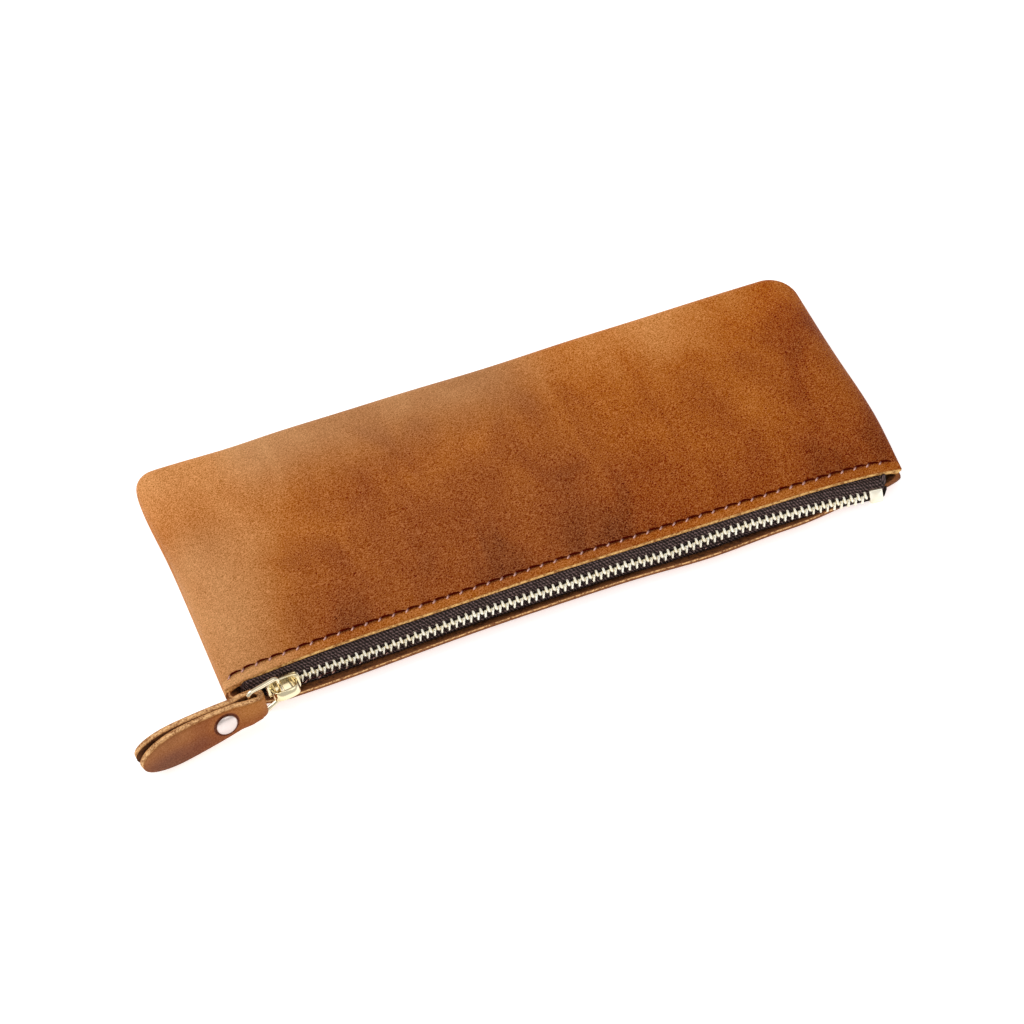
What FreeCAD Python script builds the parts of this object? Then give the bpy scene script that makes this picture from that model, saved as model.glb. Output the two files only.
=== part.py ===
"""A slim leather pen case that closes with a metal zip along one long edge.

The hide wraps round the back, and its short sides are sewn inside and turned out. The front
edges carry the two zip tapes. A brass slider runs on the teeth, and its wire ring holds a
folded leather pull tab with a rivet.

X runs along the zip, -Y is the front and +Z is up. The origin is on the table, under the
middle of the case. All sizes are millimetres.
"""

import FreeCAD
import Part
import math
import os

from FreeCAD import Placement, Rotation
from FreeCAD import Vector as V

# Leather shell
case_length = 200.0
case_depth = 82.0
leather = 1.8
crown_height = 14.8
crown_y = -5.0
back_height = 10.0
edge_height = 12.9
edge_setback = 4.5
lip_radius = 14.0
lip_angle = 32.0
seam_height = 5.0
seam_gap = 0.2
seam_allowance = 6.0
end_rounding = 10.0
end_fullness = 0.3
corner_setback = 4.0
crease_from_back = 13.0
base_flat_depth = 0.15
mouth_end_margin = 4.0

# Zip tapes and teeth
zip_from_upper_edge = 4.85
tape_thickness = 0.6
tape_gap = 0.05
tape_sewn_width = 8.0
tape_end_margin = 5.5
sewn_end_margin = 10.5
bead_inner = 0.8
bead_width = 0.75
bead_thickness = 0.9
tooth_pitch = 2.13
tooth_thickness = 0.95
tooth_neck = 0.66
tooth_head_tip = 0.6
tooth_reach = 0.6
tooth_shoulder = 0.2
tooth_neck_from_middle = 0.5
tooth_height = 2.2
chain_half_width = 1.85
zip_clearance = 0.02
stop_length = 3.6
stop_width = 4.4
stop_height = 3.0
stop_from_end = 6.3
top_stop_length = 2.4
top_stop_inner = 0.75

# Slider
slider_length = 9.6
slider_front_half = 3.1
slider_rear_half = 2.7
slider_under_half = 2.45
slider_from_end = 15.3
slider_wall = 1.0
slider_under_wall = 0.7
rim_inner = 2.1
rim_slot = 1.0
channel_height = 2.6
wedge_width = 1.2
wedge_length = 2.9
slider_stop_gap = 0.4
slider_round = 0.35
bridge_width = 2.8
bridge_span = 6.4
lug_length = 0.7
lug_height = 3.5
spring_thickness = 0.25
spring_pin = 0.5
spring_fit = 0.05
cap_thickness = 0.7
cap_round = 0.6
cap_gap = 0.1

# Pull ring
wire = 1.3
ring_length = 9.2
ring_near_width = 7.0
ring_far_width = 9.8
ring_corner = 1.4
ring_lift = 1.45
ring_from_lug = 0.5
ring_twist = 11.0
ring_tilt = 13.0
ring_droop = 13.0

# Pull tab
tab_leather = 1.9
tab_length = 37.7
tab_width = 10.8
tab_fold_width = 5.9
tab_wire_width = 6.6
tab_rivet_width = 9.4
tab_tip_length = 8.5
tab_swing_back = 6.0
tab_lift = 9.5
tab_fold_reach = 3.8
tab_loop_straight = 1.8
tab_bore_gap = 0.15
tab_pinch_gap = 0.2
tab_splay_gap = 2.4

# Rivet
rivet_cap_width = 6.4
rivet_cap_height = 1.1
rivet_from_fold = 12.5
rivet_post = 2.0
rivet_tube = 2.7
rivet_gap = 0.05
post_fit = 0.01

# Stitching
stitch_pitch = 4.0
stitch_length = 3.3
stitch_from_edge = 2.65
thread = 0.6
bobbin = 0.4
side_stitch_inset = 3.0

# Places worked out from the driving dimensions
half_length = case_length / 2
back_y = case_depth / 2
lip_y = -case_depth / 2
edge_y = lip_y + edge_setback
corner_y = lip_y + corner_setback
crease_y = back_y - crease_from_back
stack = leather + seam_gap / 2
straight_half = half_length - end_rounding
END_ANGLES = (0.0, 20.0, 40.0, 60.0, 75.0, 90.0)


def mix(flat, full, fullness):
    """A value between the flat side seam, at 0, and the full middle of the case, at 1."""
    return flat + (full - flat) * fullness


def circle_through(a, b, c):
    """Centre of the circle through three (y, z) points."""
    d = 2 * (a[0] * (b[1] - c[1]) + b[0] * (c[1] - a[1]) + c[0] * (a[1] - b[1]))
    squares = [p[0] ** 2 + p[1] ** 2 for p in (a, b, c)]
    y = squares[0] * (b[1] - c[1]) + squares[1] * (c[1] - a[1]) + squares[2] * (a[1] - b[1])
    z = squares[0] * (c[0] - b[0]) + squares[1] * (a[0] - c[0]) + squares[2] * (b[0] - a[0])
    return y / d, z / d


class Section:
    """One slice of the shell across the case, moved inwards by inset."""

    def __init__(self, angle, inset=0.0):
        swing = math.radians(angle)
        fullness = end_fullness + (1 - end_fullness) * math.cos(swing)
        self.x = straight_half + (end_rounding - inset) * math.sin(swing)
        top_flat = seam_height + stack
        bottom = mix(seam_height - stack, -base_flat_depth, fullness)
        back_top = mix(top_flat, back_height, fullness)
        back = back_y - end_rounding * (1 - math.cos(swing))
        fold = (back_top - bottom) / 2
        fold_middle = bottom + fold
        fold_y = back - fold
        edge = (mix(corner_y, edge_y, fullness), mix(top_flat, edge_height, fullness))
        crown = (crown_y, mix(top_flat, crown_height, fullness))
        centre = circle_through((fold_y, back_top), crown, edge)
        radius = math.dist(centre, crown) - inset
        self.top_centre, self.top_radius = centre, radius

        def on_top(point):
            away = math.dist(point, centre)
            return tuple(c + (p - c) * radius / away for p, c in zip(point, centre))

        turn = math.radians(lip_angle) * fullness
        bend = lip_radius / fullness
        lip_front = mix(corner_y, lip_y, fullness)
        lip_start = lip_front + bend * math.sin(turn)
        bend_centre = (lip_start, bottom + bend)

        def on_lip(share):
            reach = bend - inset
            a = turn * share
            return bend_centre[0] - reach * math.sin(a), bend_centre[1] - reach * math.cos(a)

        self.lip_turn, self.lip_bend, self.lip_centre = turn, bend, bend_centre
        self.upper_edge = on_top(edge)
        self.lower_edge = on_lip(1.0)
        self.fold_top = (fold_y, back_top - inset)
        self.crown = on_top(crown)
        self.lip_middle = on_lip(0.5)
        self.lip_start = on_lip(0.0)
        slant = (fold - inset) * math.sqrt(0.5)
        self.fold_bottom = (fold_y, bottom + inset)
        self.fold_back = (back - inset, fold_middle)
        self.fold_low = (fold_y + slant, fold_middle - slant)
        self.fold_high = (fold_y + slant, fold_middle + slant)

    def top_z(self, y):
        """Height of the top surface of this slice at y."""
        across = y - self.top_centre[0]
        return self.top_centre[1] + math.sqrt(self.top_radius ** 2 - across ** 2)

    def wire(self, side):
        """The slice's closed outline, on the right for side 1 and on the left for side -1."""

        def at(point):
            return V(side * self.x, point[0], point[1])

        def arc(a, b, c):
            return Part.Arc(at(a), at(b), at(c)).toShape()

        def line(a, b):
            return Part.LineSegment(at(a), at(b)).toShape()

        return Part.Wire([
            arc(self.fold_top, self.crown, self.upper_edge),
            line(self.upper_edge, self.lower_edge),
            arc(self.lower_edge, self.lip_middle, self.lip_start),
            line(self.lip_start, self.fold_bottom),
            arc(self.fold_bottom, self.fold_low, self.fold_back),
            arc(self.fold_back, self.fold_high, self.fold_top),
        ])


def pillow(inset):
    """The closed form of the case, moved inwards by inset on every side."""
    left = [Section(a, inset).wire(-1) for a in reversed(END_ANGLES)]
    right = [Section(a, inset).wire(1) for a in END_ANGLES]
    return Part.makeLoft(left + right, True, True)


def box(x0, x1, y0, y1, z0, z1):
    """A box between two corners."""
    return Part.makeBox(x1 - x0, y1 - y0, z1 - z0, V(x0, y0, z0))


def prism(points, direction):
    """A solid swept from a closed polygon of points."""
    return Part.Face(Part.makePolygon(points + points[:1])).extrude(direction)


outside = Section(0.0)
inside = Section(0.0, leather)

# The zip's own frame: X along the teeth, Y up across the two tapes, Z out of the case
gap_y = inside.upper_edge[0] - inside.lower_edge[0]
gap_z = inside.upper_edge[1] - inside.lower_edge[1]
mouth_width = math.hypot(gap_y, gap_z)
lower_gap = mouth_width - zip_from_upper_edge
zip_angle = math.degrees(math.atan2(gap_z, gap_y))
zip_up = V(0, math.cos(math.radians(zip_angle)), math.sin(math.radians(zip_angle)))
zip_out = V(0, -zip_up.z, zip_up.y)
on_mouth = V(0, *inside.upper_edge) - zip_up * zip_from_upper_edge
zip_centre = on_mouth - zip_out * (tape_thickness / 2 + tape_gap)
zip_place = Placement(zip_centre, Rotation(V(1, 0, 0), zip_angle))
zip_half = half_length - tape_end_margin
slider_x = -half_length + slider_from_end
stop_x = half_length - stop_from_end - stop_length
slider_travel = stop_x - slider_stop_gap - slider_length / 2 - slider_x
channel_half = channel_height / 2
slider_top = channel_half + slider_wall
ring_axis_x = -bridge_span / 2 + lug_length + ring_from_lug + wire / 2
ring_axis_z = slider_top + ring_lift + wire / 2


def place(shape, where):
    """A copy of the shape, moved by a placement."""
    moved = shape.copy()
    moved.Placement = where.multiply(moved.Placement)
    return moved


def from_zip(shape, x=0.0):
    """A copy of a shape drawn in the zip's frame, moved to its place on the case."""
    return place(shape, Placement(V(x, 0, 0), Rotation()).multiply(zip_place))


def group(shapes):
    """Separate solids in one node."""
    return Part.makeCompound(shapes)


# Leather panels

def mouth():
    """The open space between the two front edges, where the zip lies."""
    reach = 4 * leather
    upper_out = [a - b for a, b in zip(outside.upper_edge, inside.upper_edge)]
    lower_out = [a - b for a, b in zip(outside.lower_edge, inside.lower_edge)]

    def pushed(point, way, amount):
        return point[0] + way[0] * amount / leather, point[1] + way[1] * amount / leather

    inwards = (-zip_out.y * leather, -zip_out.z * leather)
    upper_in = pushed(inside.upper_edge, inwards, 2 * leather)
    lower_in = pushed(inside.lower_edge, inwards, 2 * leather)
    upper_far = pushed(inside.upper_edge, upper_out, reach)
    lower_far = pushed(inside.lower_edge, lower_out, reach)
    front = min(upper_far[0], lower_far[0]) - reach
    outline = [
        inside.upper_edge, upper_far, (front, upper_far[1]), (front, lower_far[1]), lower_far,
        inside.lower_edge, lower_in, upper_in,
    ]
    length = case_length - 2 * mouth_end_margin
    return prism([V(-length / 2, *p) for p in outline], V(length, 0, 0))


def allowances(z0):
    """The two turned-in seam edges at one height, each a strip along a short side."""
    end = half_length - leather
    strips = []
    for side in (-1, 1):
        x = sorted((side * (end - seam_allowance), side * (end + leather / 2)))
        strips.append(box(x[0], x[1], edge_y + end_rounding, crease_y - end_rounding, z0, z0 + leather))
    return strips


def leather_shell():
    """The whole hollow shell, open along the mouth and flat underneath."""
    shell = pillow(0.0).cut(pillow(leather)).cut(mouth())
    under = box(-case_length, case_length, -case_depth, case_depth, -crown_height, 0)
    return shell.cut(under)


def above_seam(z, y):
    """The space above the side seams and in front of the crease at the back."""
    return box(-case_length, case_length, -case_depth, y, z, 2 * crown_height)


def upper_panel(shell):
    """The top of the case: the panel that lifts when the mouth opens."""
    lid = shell.common(above_seam(seam_height + seam_gap / 2, crease_y - seam_gap / 2))
    return lid.fuse(allowances(seam_height + seam_gap / 2)).removeSplitter()


def lower_panel(shell):
    """The bottom of the case with the fold round the back and the front lip."""
    tray = shell.cut(above_seam(seam_height - seam_gap / 2, crease_y + seam_gap / 2))
    return tray.fuse(allowances(seam_height - seam_gap / 2 - leather)).removeSplitter()


# Zip tapes, beads and teeth

def exposed_tape(sign):
    """The flat strip of tape between a leather edge and the teeth."""
    start = bead_inner + bead_width
    end = (zip_from_upper_edge if sign > 0 else lower_gap) - tape_gap
    low, high = sorted((sign * start, sign * end))
    strip = box(-zip_half, zip_half, low, high, -tape_thickness / 2, tape_thickness / 2)
    return from_zip(strip)


def sewn_length():
    """How far the sewn margins of the tapes run along the case."""
    return case_length - 2 * sewn_end_margin


def upper_tape():
    """The tape sewn under the front edge of the upper panel."""
    edge = inside.upper_edge
    back = edge[0] + tape_sewn_width
    rear = (back, inside.top_z(back))
    centre = inside.top_centre

    def under(point, depth):
        away = math.dist(point, centre)
        return tuple(c + (p - c) * (away - depth) / away for p, c in zip(point, centre))

    far = tape_gap + tape_thickness
    outline = [under(edge, tape_gap), under(rear, tape_gap), under(rear, far), under(edge, far)]
    sewn = prism([V(-sewn_length() / 2, *p) for p in outline], V(sewn_length(), 0, 0))
    return exposed_tape(1).fuse(sewn).removeSplitter()


def lip_point(depth, share):
    """A point at some depth inside the lower lip's outer skin, at a share of its bend."""
    reach = outside.lip_bend - depth
    a = outside.lip_turn * share
    y, z = outside.lip_centre
    return V(-sewn_length() / 2, y - reach * math.sin(a), z - reach * math.cos(a))


def lower_tape():
    """The tape sewn inside the lower lip, bent with it."""
    near = leather + tape_gap
    far = near + tape_thickness
    arcs = [[lip_point(depth, share) for share in (1.0, 0.5, 0.0)] for depth in (near, far)]
    edges = [
        Part.Arc(*arcs[0]).toShape(),
        Part.LineSegment(arcs[0][2], arcs[1][2]).toShape(),
        Part.Arc(*reversed(arcs[1])).toShape(),
        Part.LineSegment(arcs[1][0], arcs[0][0]).toShape(),
    ]
    sewn = Part.Face(Part.Wire(edges)).extrude(V(sewn_length(), 0, 0))
    return exposed_tape(-1).fuse(sewn).removeSplitter()


def bead(sign):
    """The thick corded edge of a tape that the teeth grip."""
    low, high = sorted((sign * bead_inner, sign * (bead_inner + bead_width)))
    return from_zip(box(-zip_half, zip_half, low, high, -bead_thickness / 2, bead_thickness / 2))


def grip_slot(length):
    """The slot in a tooth or stop that closes over a tape's bead."""
    half = bead_thickness / 2 + zip_clearance
    return box(-length, length, bead_inner - zip_clearance, 2 * chain_half_width, -half, half)


def tooth():
    """One tooth of the upper row, its head past the middle line and its legs round the bead."""
    half = tooth_thickness / 2
    right = [
        (tooth_head_tip / 2, -tooth_reach),
        (half, -tooth_shoulder),
        (tooth_neck / 2, tooth_neck_from_middle),
        (half, bead_inner),
        (half, chain_half_width),
    ]
    outline = right + [(-x, y) for x, y in reversed(right)]
    plate = prism([V(x, y, -tooth_height / 2) for x, y in outline], V(0, 0, tooth_height))
    return plate.cut(grip_slot(tooth_thickness))


def teeth_row(sign):
    """A row of teeth from the closed slider to the bottom stop; the rows sit half a pitch apart."""
    one = tooth()
    if sign < 0:
        one = place(one, Placement(V(0, 0, 0), Rotation(V(1, 0, 0), 180)))
    first = slider_x + tooth_thickness / 2
    room = stop_x - tooth_thickness - first
    count = int(room / tooth_pitch)
    shift = 0.0 if sign > 0 else tooth_pitch / 2
    return group([from_zip(one, first + shift + i * tooth_pitch) for i in range(count)])


def bottom_stop():
    """The box that clamps both tapes where the teeth end."""
    block = box(0, stop_length, -stop_width / 2, stop_width / 2, -stop_height / 2, stop_height / 2)
    half = stop_height / 2
    block = block.makeFillet(slider_round, edges_at(block, -half) + edges_at(block, half))
    slot = grip_slot(2 * stop_length)
    for turned in (0, 180):
        block = block.cut(place(slot, Placement(V(0, 0, 0), Rotation(V(1, 0, 0), turned))))
    return from_zip(block, stop_x)


def edges_at(shape, z):
    """The edges of a shape that lie at one height."""
    return [e for e in shape.Edges if abs(e.CenterOfMass.z - z) < 1e-6 and e.BoundBox.ZLength < 1e-3]


def top_stop(sign):
    """The small clamp at the closed end of one tape."""
    x1 = -tooth_thickness - zip_clearance
    half = tooth_height / 2
    block = box(x1 - top_stop_length, x1, top_stop_inner, chain_half_width, -half, half)
    block = block.cut(grip_slot(2 * slider_length))
    if sign < 0:
        block = place(block, Placement(V(0, 0, 0), Rotation(V(1, 0, 0), 180)))
    return from_zip(block, slider_x)


# Slider

def slider_outline(z0, z1):
    """The slider's plan shape, wide where the tapes part and narrow behind, between two heights."""
    half = slider_length / 2
    shoulder = slider_front_half - slider_rear_half
    right = [
        (-half, slider_front_half - 2 * shoulder),
        (-half + shoulder, slider_front_half),
        (0.0, slider_rear_half + shoulder / 2),
        (half - shoulder, slider_rear_half),
        (half, slider_rear_half - shoulder),
    ]
    outline = right + [(x, -y) for x, y in reversed(right)]
    return prism([V(x, y, z0) for x, y in outline], V(0, 0, z1 - z0))


def slider_body():
    """Two plates with turned-in rims, joined by the wedge that parts the teeth."""
    underside = -channel_half - slider_under_wall
    block = slider_outline(underside, slider_top)
    block = block.makeFillet(slider_round, edges_at(block, underside) + edges_at(block, slider_top))
    reach = slider_length
    for side in (-1, 1):
        low, high = sorted((side * slider_under_half, side * reach))
        block = block.cut(box(-reach, reach, low, high, -reach, -rim_slot / 2))
    block = block.cut(box(-reach, reach, -rim_inner, rim_inner, -channel_half, channel_half))
    block = block.cut(box(-reach, reach, -reach, reach, -rim_slot / 2, rim_slot / 2))
    front = -slider_length / 2
    tip = wedge_width / 2
    wedge = prism(
        [
            V(front + tip, -tip, -channel_half), V(front + wedge_length, -tip / 2, -channel_half),
            V(front + wedge_length, tip / 2, -channel_half), V(front + tip, tip, -channel_half),
        ],
        V(0, 0, channel_height),
    )
    lugs = []
    rooted = slider_top - slider_wall / 2
    for x in (-bridge_span / 2, bridge_span / 2 - lug_length):
        half = bridge_width / 2 - cap_gap
        lugs.append(box(x, x + lug_length, -half, half, rooted, slider_top + lug_height))
    hole_foot = V(pin_x(), 0, channel_half - slider_wall / 2)
    hole = Part.makeCylinder(spring_pin / 2 + spring_fit, 2 * slider_wall, hole_foot)
    return from_zip(block.fuse([wedge] + lugs).removeSplitter().cut(hole), slider_x)


def pin_x():
    """Where the lock pin goes down through the slider's top plate."""
    return bridge_span / 2 - lug_length - spring_pin


def lock_spring():
    """The leaf on the two lugs under the cap, with the pin that drops between the teeth."""
    z = slider_top + lug_height
    half = bridge_width / 2 - 2 * cap_gap
    leaf = box(-bridge_span / 2, bridge_span / 2, -half, half, z, z + spring_thickness)
    pin = Part.makeCylinder(spring_pin / 2, z - channel_half, V(pin_x(), 0, channel_half))
    return from_zip(leaf.fuse(pin).removeSplitter(), slider_x)


def slider_cap():
    """The arched cover over the spring, with an end wall outside each lug."""
    inner_x = bridge_span / 2 + cap_gap
    outer_x = inner_x + cap_thickness
    inner_z = slider_top + lug_height + spring_thickness + cap_gap
    outer_z = inner_z + cap_thickness
    half = bridge_width / 2
    block = box(-outer_x, outer_x, -half, half, slider_top, outer_z)
    block = block.makeFillet(cap_round, edges_at(block, outer_z))
    block = block.cut(box(-inner_x, inner_x, -2 * half, 2 * half, slider_top - cap_gap, inner_z))
    return from_zip(block, slider_x)


# Pull ring, with its crossbar at the origin of its own frame and the tab towards -X
ring_turn = Rotation(V(1, 0, 0), ring_twist)
ring_turn = ring_turn.multiply(Rotation(V(0, 1, 0), ring_tilt))
ring_turn = ring_turn.multiply(Rotation(V(0, 0, 1), ring_droop))
ring_place = Placement(V(ring_axis_x, 0, ring_axis_z), ring_turn)
far_wire = ring_place.multVec(V(-ring_length, 0, 0))


def from_ring(shape):
    """A copy of a shape drawn in the ring's frame, moved to its place on the case."""
    return from_zip(place(shape, ring_place), slider_x)


def rounded_loop(corners, radius):
    """A closed wire through corner points, with the same arc at every corner."""
    edges = []
    count = len(corners)
    for i, corner in enumerate(corners):
        before = (corners[i - 1] - corner).normalize()
        after = (corners[(i + 1) % count] - corner).normalize()
        half_turn = before.getAngle(after) / 2
        ends = [corner + way * (radius / math.tan(half_turn)) for way in (before, after)]
        bisector = (before + after).normalize()
        middle = corner + bisector * (radius / math.sin(half_turn) - radius)
        if edges:
            edges.append(Part.LineSegment(edges[-1].Vertexes[-1].Point, ends[0]).toShape())
        edges.append(Part.Arc(ends[0], middle, ends[1]).toShape())
    last, first = edges[-1].Vertexes[-1].Point, edges[0].Vertexes[0].Point
    edges.append(Part.LineSegment(last, first).toShape())
    return Part.Wire(edges)


def pull_ring():
    """A closed wire loop, wider at the tab than at its crossbar under the slider's cap."""
    near = ring_near_width / 2
    far = ring_far_width / 2
    corners = [V(0, -near, 0), V(0, near, 0), V(-ring_length, far, 0), V(-ring_length, -far, 0)]
    path = rounded_loop(corners, ring_corner)
    bend = path.Edges[0]
    start = bend.FirstParameter
    profile = Part.makeCircle(wire / 2, bend.valueAt(start), bend.tangentAt(start))
    return from_ring(path.makePipeShell([Part.Wire(profile)], True, False))


# Pull tab and rivet, with the ring's far wire at the origin of their frame and the tip towards -X
tab_turn = ring_turn.multiply(Rotation(V(0, 1, 0), -tab_swing_back))
tab_turn = tab_turn.multiply(Rotation(V(0, 0, 1), -tab_lift))
tab_place = Placement(far_wire, tab_turn)
tab_bore = wire / 2 + tab_bore_gap
tab_rivet_x = tab_fold_reach - rivet_from_fold
tab_tip_x = tab_fold_reach - tab_length
tab_seat = tab_pinch_gap / 2 + tab_leather


def from_tab(shape):
    """A copy of a shape drawn in the tab's frame, moved to its place on the case."""
    return from_zip(place(shape, tab_place), slider_x)


def tab_side():
    """The folded strap seen on edge: looped round the wire, pinched at the rivet, open at the tip."""
    fold_x = tab_fold_reach - tab_bore - tab_leather
    clamp = rivet_cap_width / 2
    inner = [
        (fold_x, tab_bore),
        (-tab_loop_straight, tab_bore),
        (tab_rivet_x + clamp, tab_pinch_gap / 2),
        (tab_rivet_x - clamp, tab_pinch_gap / 2),
        (tab_tip_x, tab_splay_gap / 2),
    ]
    outer = [(x, z + tab_leather) for x, z in inner]
    edges = []

    def run(points):
        for a, b in zip(points, points[1:]):
            edges.append(Part.LineSegment(V(a[0], 0, a[1]), V(b[0], 0, b[1])).toShape())

    def bend(reach, way):
        ends = [V(fold_x, 0, way * reach), V(fold_x, 0, -way * reach)]
        edges.append(Part.Arc(ends[0], V(fold_x + reach, 0, 0), ends[1]).toShape())

    run(list(reversed(outer)))
    bend(tab_bore + tab_leather, 1)
    run([(x, -z) for x, z in outer] + [(x, -z) for x, z in reversed(inner)])
    bend(tab_bore, -1)
    run(inner + [outer[-1]])
    face = Part.Face(Part.Wire(edges))
    face.translate(V(0, -tab_width, 0))
    return face.extrude(V(0, 2 * tab_width, 0))


def tab_plan():
    """The strap's outline: narrow in the ring, widening past the rivet to a rounded paddle."""
    wide_x = tab_tip_x + tab_tip_length
    half = tab_width / 2
    fold_half = tab_fold_width / 2
    past_fold = tab_fold_reach + tab_bore_gap
    round_share = 4 / 3 * math.tan(math.pi / 8)
    edges = [Part.LineSegment(V(past_fold, -fold_half, 0), V(past_fold, fold_half, 0)).toShape()]
    for side in (-1, 1):
        flank = Part.BSplineCurve()
        flank.interpolate(
            [
                V(past_fold, side * fold_half, 0),
                V(0, side * tab_wire_width / 2, 0),
                V(tab_rivet_x, side * tab_rivet_width / 2, 0),
                V(wide_x, side * half, 0),
            ],
            InitialTangent=V(-1, 0, 0), FinalTangent=V(-1, 0, 0),
        )
        tip = Part.BezierCurve()
        tip.setPoles([
            V(wide_x, side * half, 0),
            V(wide_x - tab_tip_length * round_share, side * half, 0),
            V(tab_tip_x, side * half * round_share, 0),
            V(tab_tip_x, 0, 0),
        ])
        edges += [flank.toShape(), tip.toShape()]
    face = Part.Face(Part.Wire(Part.__sortEdges__(edges)))
    deep = tab_leather * 4 + tab_splay_gap
    face.translate(V(0, 0, -deep))
    return face.extrude(V(0, 0, 2 * deep))


def pull_tab():
    """A leather strap folded through the ring, with a hole for the rivet."""
    hole_foot = V(tab_rivet_x, 0, -2 * tab_seat)
    hole = Part.makeCylinder(rivet_tube / 2 + rivet_gap, 4 * tab_seat, hole_foot)
    return from_tab(tab_side().common(tab_plan()).cut(hole))


def rivet_dome():
    """A shallow domed disc standing on the strap's outer face."""
    half = rivet_cap_width / 2
    reach = (half ** 2 + rivet_cap_height ** 2) / (2 * rivet_cap_height)
    ball = Part.makeSphere(reach, V(0, 0, rivet_cap_height - reach))
    return ball.common(box(-half, half, -half, half, 0, rivet_cap_height))


def rivet_cap():
    """The domed face of the rivet with its solid post."""
    seat = tab_seat + rivet_gap
    dome = place(rivet_dome(), Placement(V(tab_rivet_x, 0, seat), Rotation()))
    post = Part.makeCylinder(rivet_post / 2, 2 * tab_seat, V(tab_rivet_x, 0, seat - 2 * tab_seat))
    return from_tab(dome.fuse(post).removeSplitter())


def rivet_base():
    """The rivet's back disc with the tube that the post is driven into."""
    seat = tab_seat + rivet_gap
    dome = place(rivet_dome(), Placement(V(tab_rivet_x, 0, -seat), Rotation(V(1, 0, 0), 180)))
    height = 2 * seat - rivet_gap
    foot = V(tab_rivet_x, 0, -seat)
    tube = Part.makeCylinder(rivet_tube / 2, height, foot)
    tube = tube.cut(Part.makeCylinder(rivet_post / 2 + post_fit, 2 * height, foot))
    return from_tab(dome.fuse(tube).removeSplitter())


# Stitching

def stitch_line(y, z, thickness):
    """Stitches along the case at one height, centred on its length."""
    count = int(sewn_length() / stitch_pitch)
    first = -stitch_pitch * (count - 1) / 2 - stitch_length / 2
    return group([
        Part.makeCylinder(thickness / 2, stitch_length, V(first + i * stitch_pitch, y, z), V(1, 0, 0))
        for i in range(count)
    ])


def upper_needle_thread():
    """Stitches on top of the upper panel, a little way in from its front edge."""
    y = edge_y + stitch_from_edge
    return stitch_line(y, outside.top_z(y) + thread / 2 + tape_gap, thread)


def upper_bobbin_thread():
    """Stitches under the upper tape, inside the case."""
    y = edge_y + stitch_from_edge
    return stitch_line(y, inside.top_z(y) - 3 * tape_gap - tape_thickness - bobbin / 2, bobbin)


def lip_stitches(depth, thickness):
    """Stitches along the lower lip at some depth from its outer skin."""
    share = 1 - stitch_from_edge / (outside.lip_bend * outside.lip_turn)
    at = lip_point(depth, share)
    return stitch_line(at.y, at.z, thickness)


def lower_needle_thread():
    """Stitches on the outside of the lower lip."""
    return lip_stitches(-tape_gap - thread / 2, thread)


def lower_bobbin_thread():
    """Stitches on the lower tape, inside the case."""
    return lip_stitches(leather + 2 * tape_gap + tape_thickness + bobbin / 2, bobbin)


def side_stitches(z, thickness):
    """Stitches along both turned-in side seams at one height."""
    start = edge_y + end_rounding
    count = int((crease_y - end_rounding - start) / stitch_pitch)
    x = half_length - leather - side_stitch_inset
    return group([
        Part.makeCylinder(thickness / 2, stitch_length, V(side * x, start + i * stitch_pitch, z), V(0, 1, 0))
        for side in (-1, 1) for i in range(count)
    ])


def side_needle_thread():
    """Stitches on top of the upper seam edges."""
    return side_stitches(seam_height + seam_gap / 2 + leather + tape_gap + thread / 2, thread)


def side_bobbin_thread():
    """Stitches under the lower seam edges."""
    return side_stitches(seam_height - seam_gap / 2 - leather - tape_gap - bobbin / 2, bobbin)


def main():
    """Builds every piece and writes one file for each."""
    shell = leather_shell()
    parts = {
        "upper_panel": upper_panel(shell),
        "lower_panel": lower_panel(shell),
        "upper_tape": upper_tape(),
        "lower_tape": lower_tape(),
        "upper_bead": bead(1),
        "lower_bead": bead(-1),
        "upper_teeth": teeth_row(1),
        "lower_teeth": teeth_row(-1),
        "bottom_stop": bottom_stop(),
        "upper_top_stop": top_stop(1),
        "lower_top_stop": top_stop(-1),
        "slider_body": slider_body(),
        "slider_cap": slider_cap(),
        "lock_spring": lock_spring(),
        "pull_ring": pull_ring(),
        "pull_tab": pull_tab(),
        "rivet_cap": rivet_cap(),
        "rivet_base": rivet_base(),
        "upper_needle_thread": upper_needle_thread(),
        "upper_bobbin_thread": upper_bobbin_thread(),
        "lower_needle_thread": lower_needle_thread(),
        "lower_bobbin_thread": lower_bobbin_thread(),
        "side_needle_thread": side_needle_thread(),
        "side_bobbin_thread": side_bobbin_thread(),
    }
    os.makedirs("parts", exist_ok=True)
    for name, shape in parts.items():
        shape.exportStep(os.path.join("parts", name + ".step"))
        print(name, len(shape.Solids), shape.isValid(), round(shape.Volume, 2))
    crease = V(0, crease_y, outside.top_z(crease_y))
    crossbar = from_ring(Part.Vertex(V(0, 0, 0))).Point
    tab_axis = from_ring(Part.Vertex(V(-ring_length, 0, 0))).Point
    ring_up = from_ring(Part.Vertex(V(0, 1, 0))).Point - crossbar
    print("crease", crease, "crossbar", crossbar, "tab axis", tab_axis, "ring up", ring_up)
    print("zip up", zip_up, "zip centre", zip_centre, "angle", zip_angle, "mouth", mouth_width)
    print("slider travel", slider_travel)


main()
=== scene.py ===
"""A slim zip case for pens in oiled tan leather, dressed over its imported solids.

X runs along the zip, -Y is the front and +Z is up. Sizes in the sections are in millimetres and
are turned into metres when a mesh is made.
"""

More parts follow.
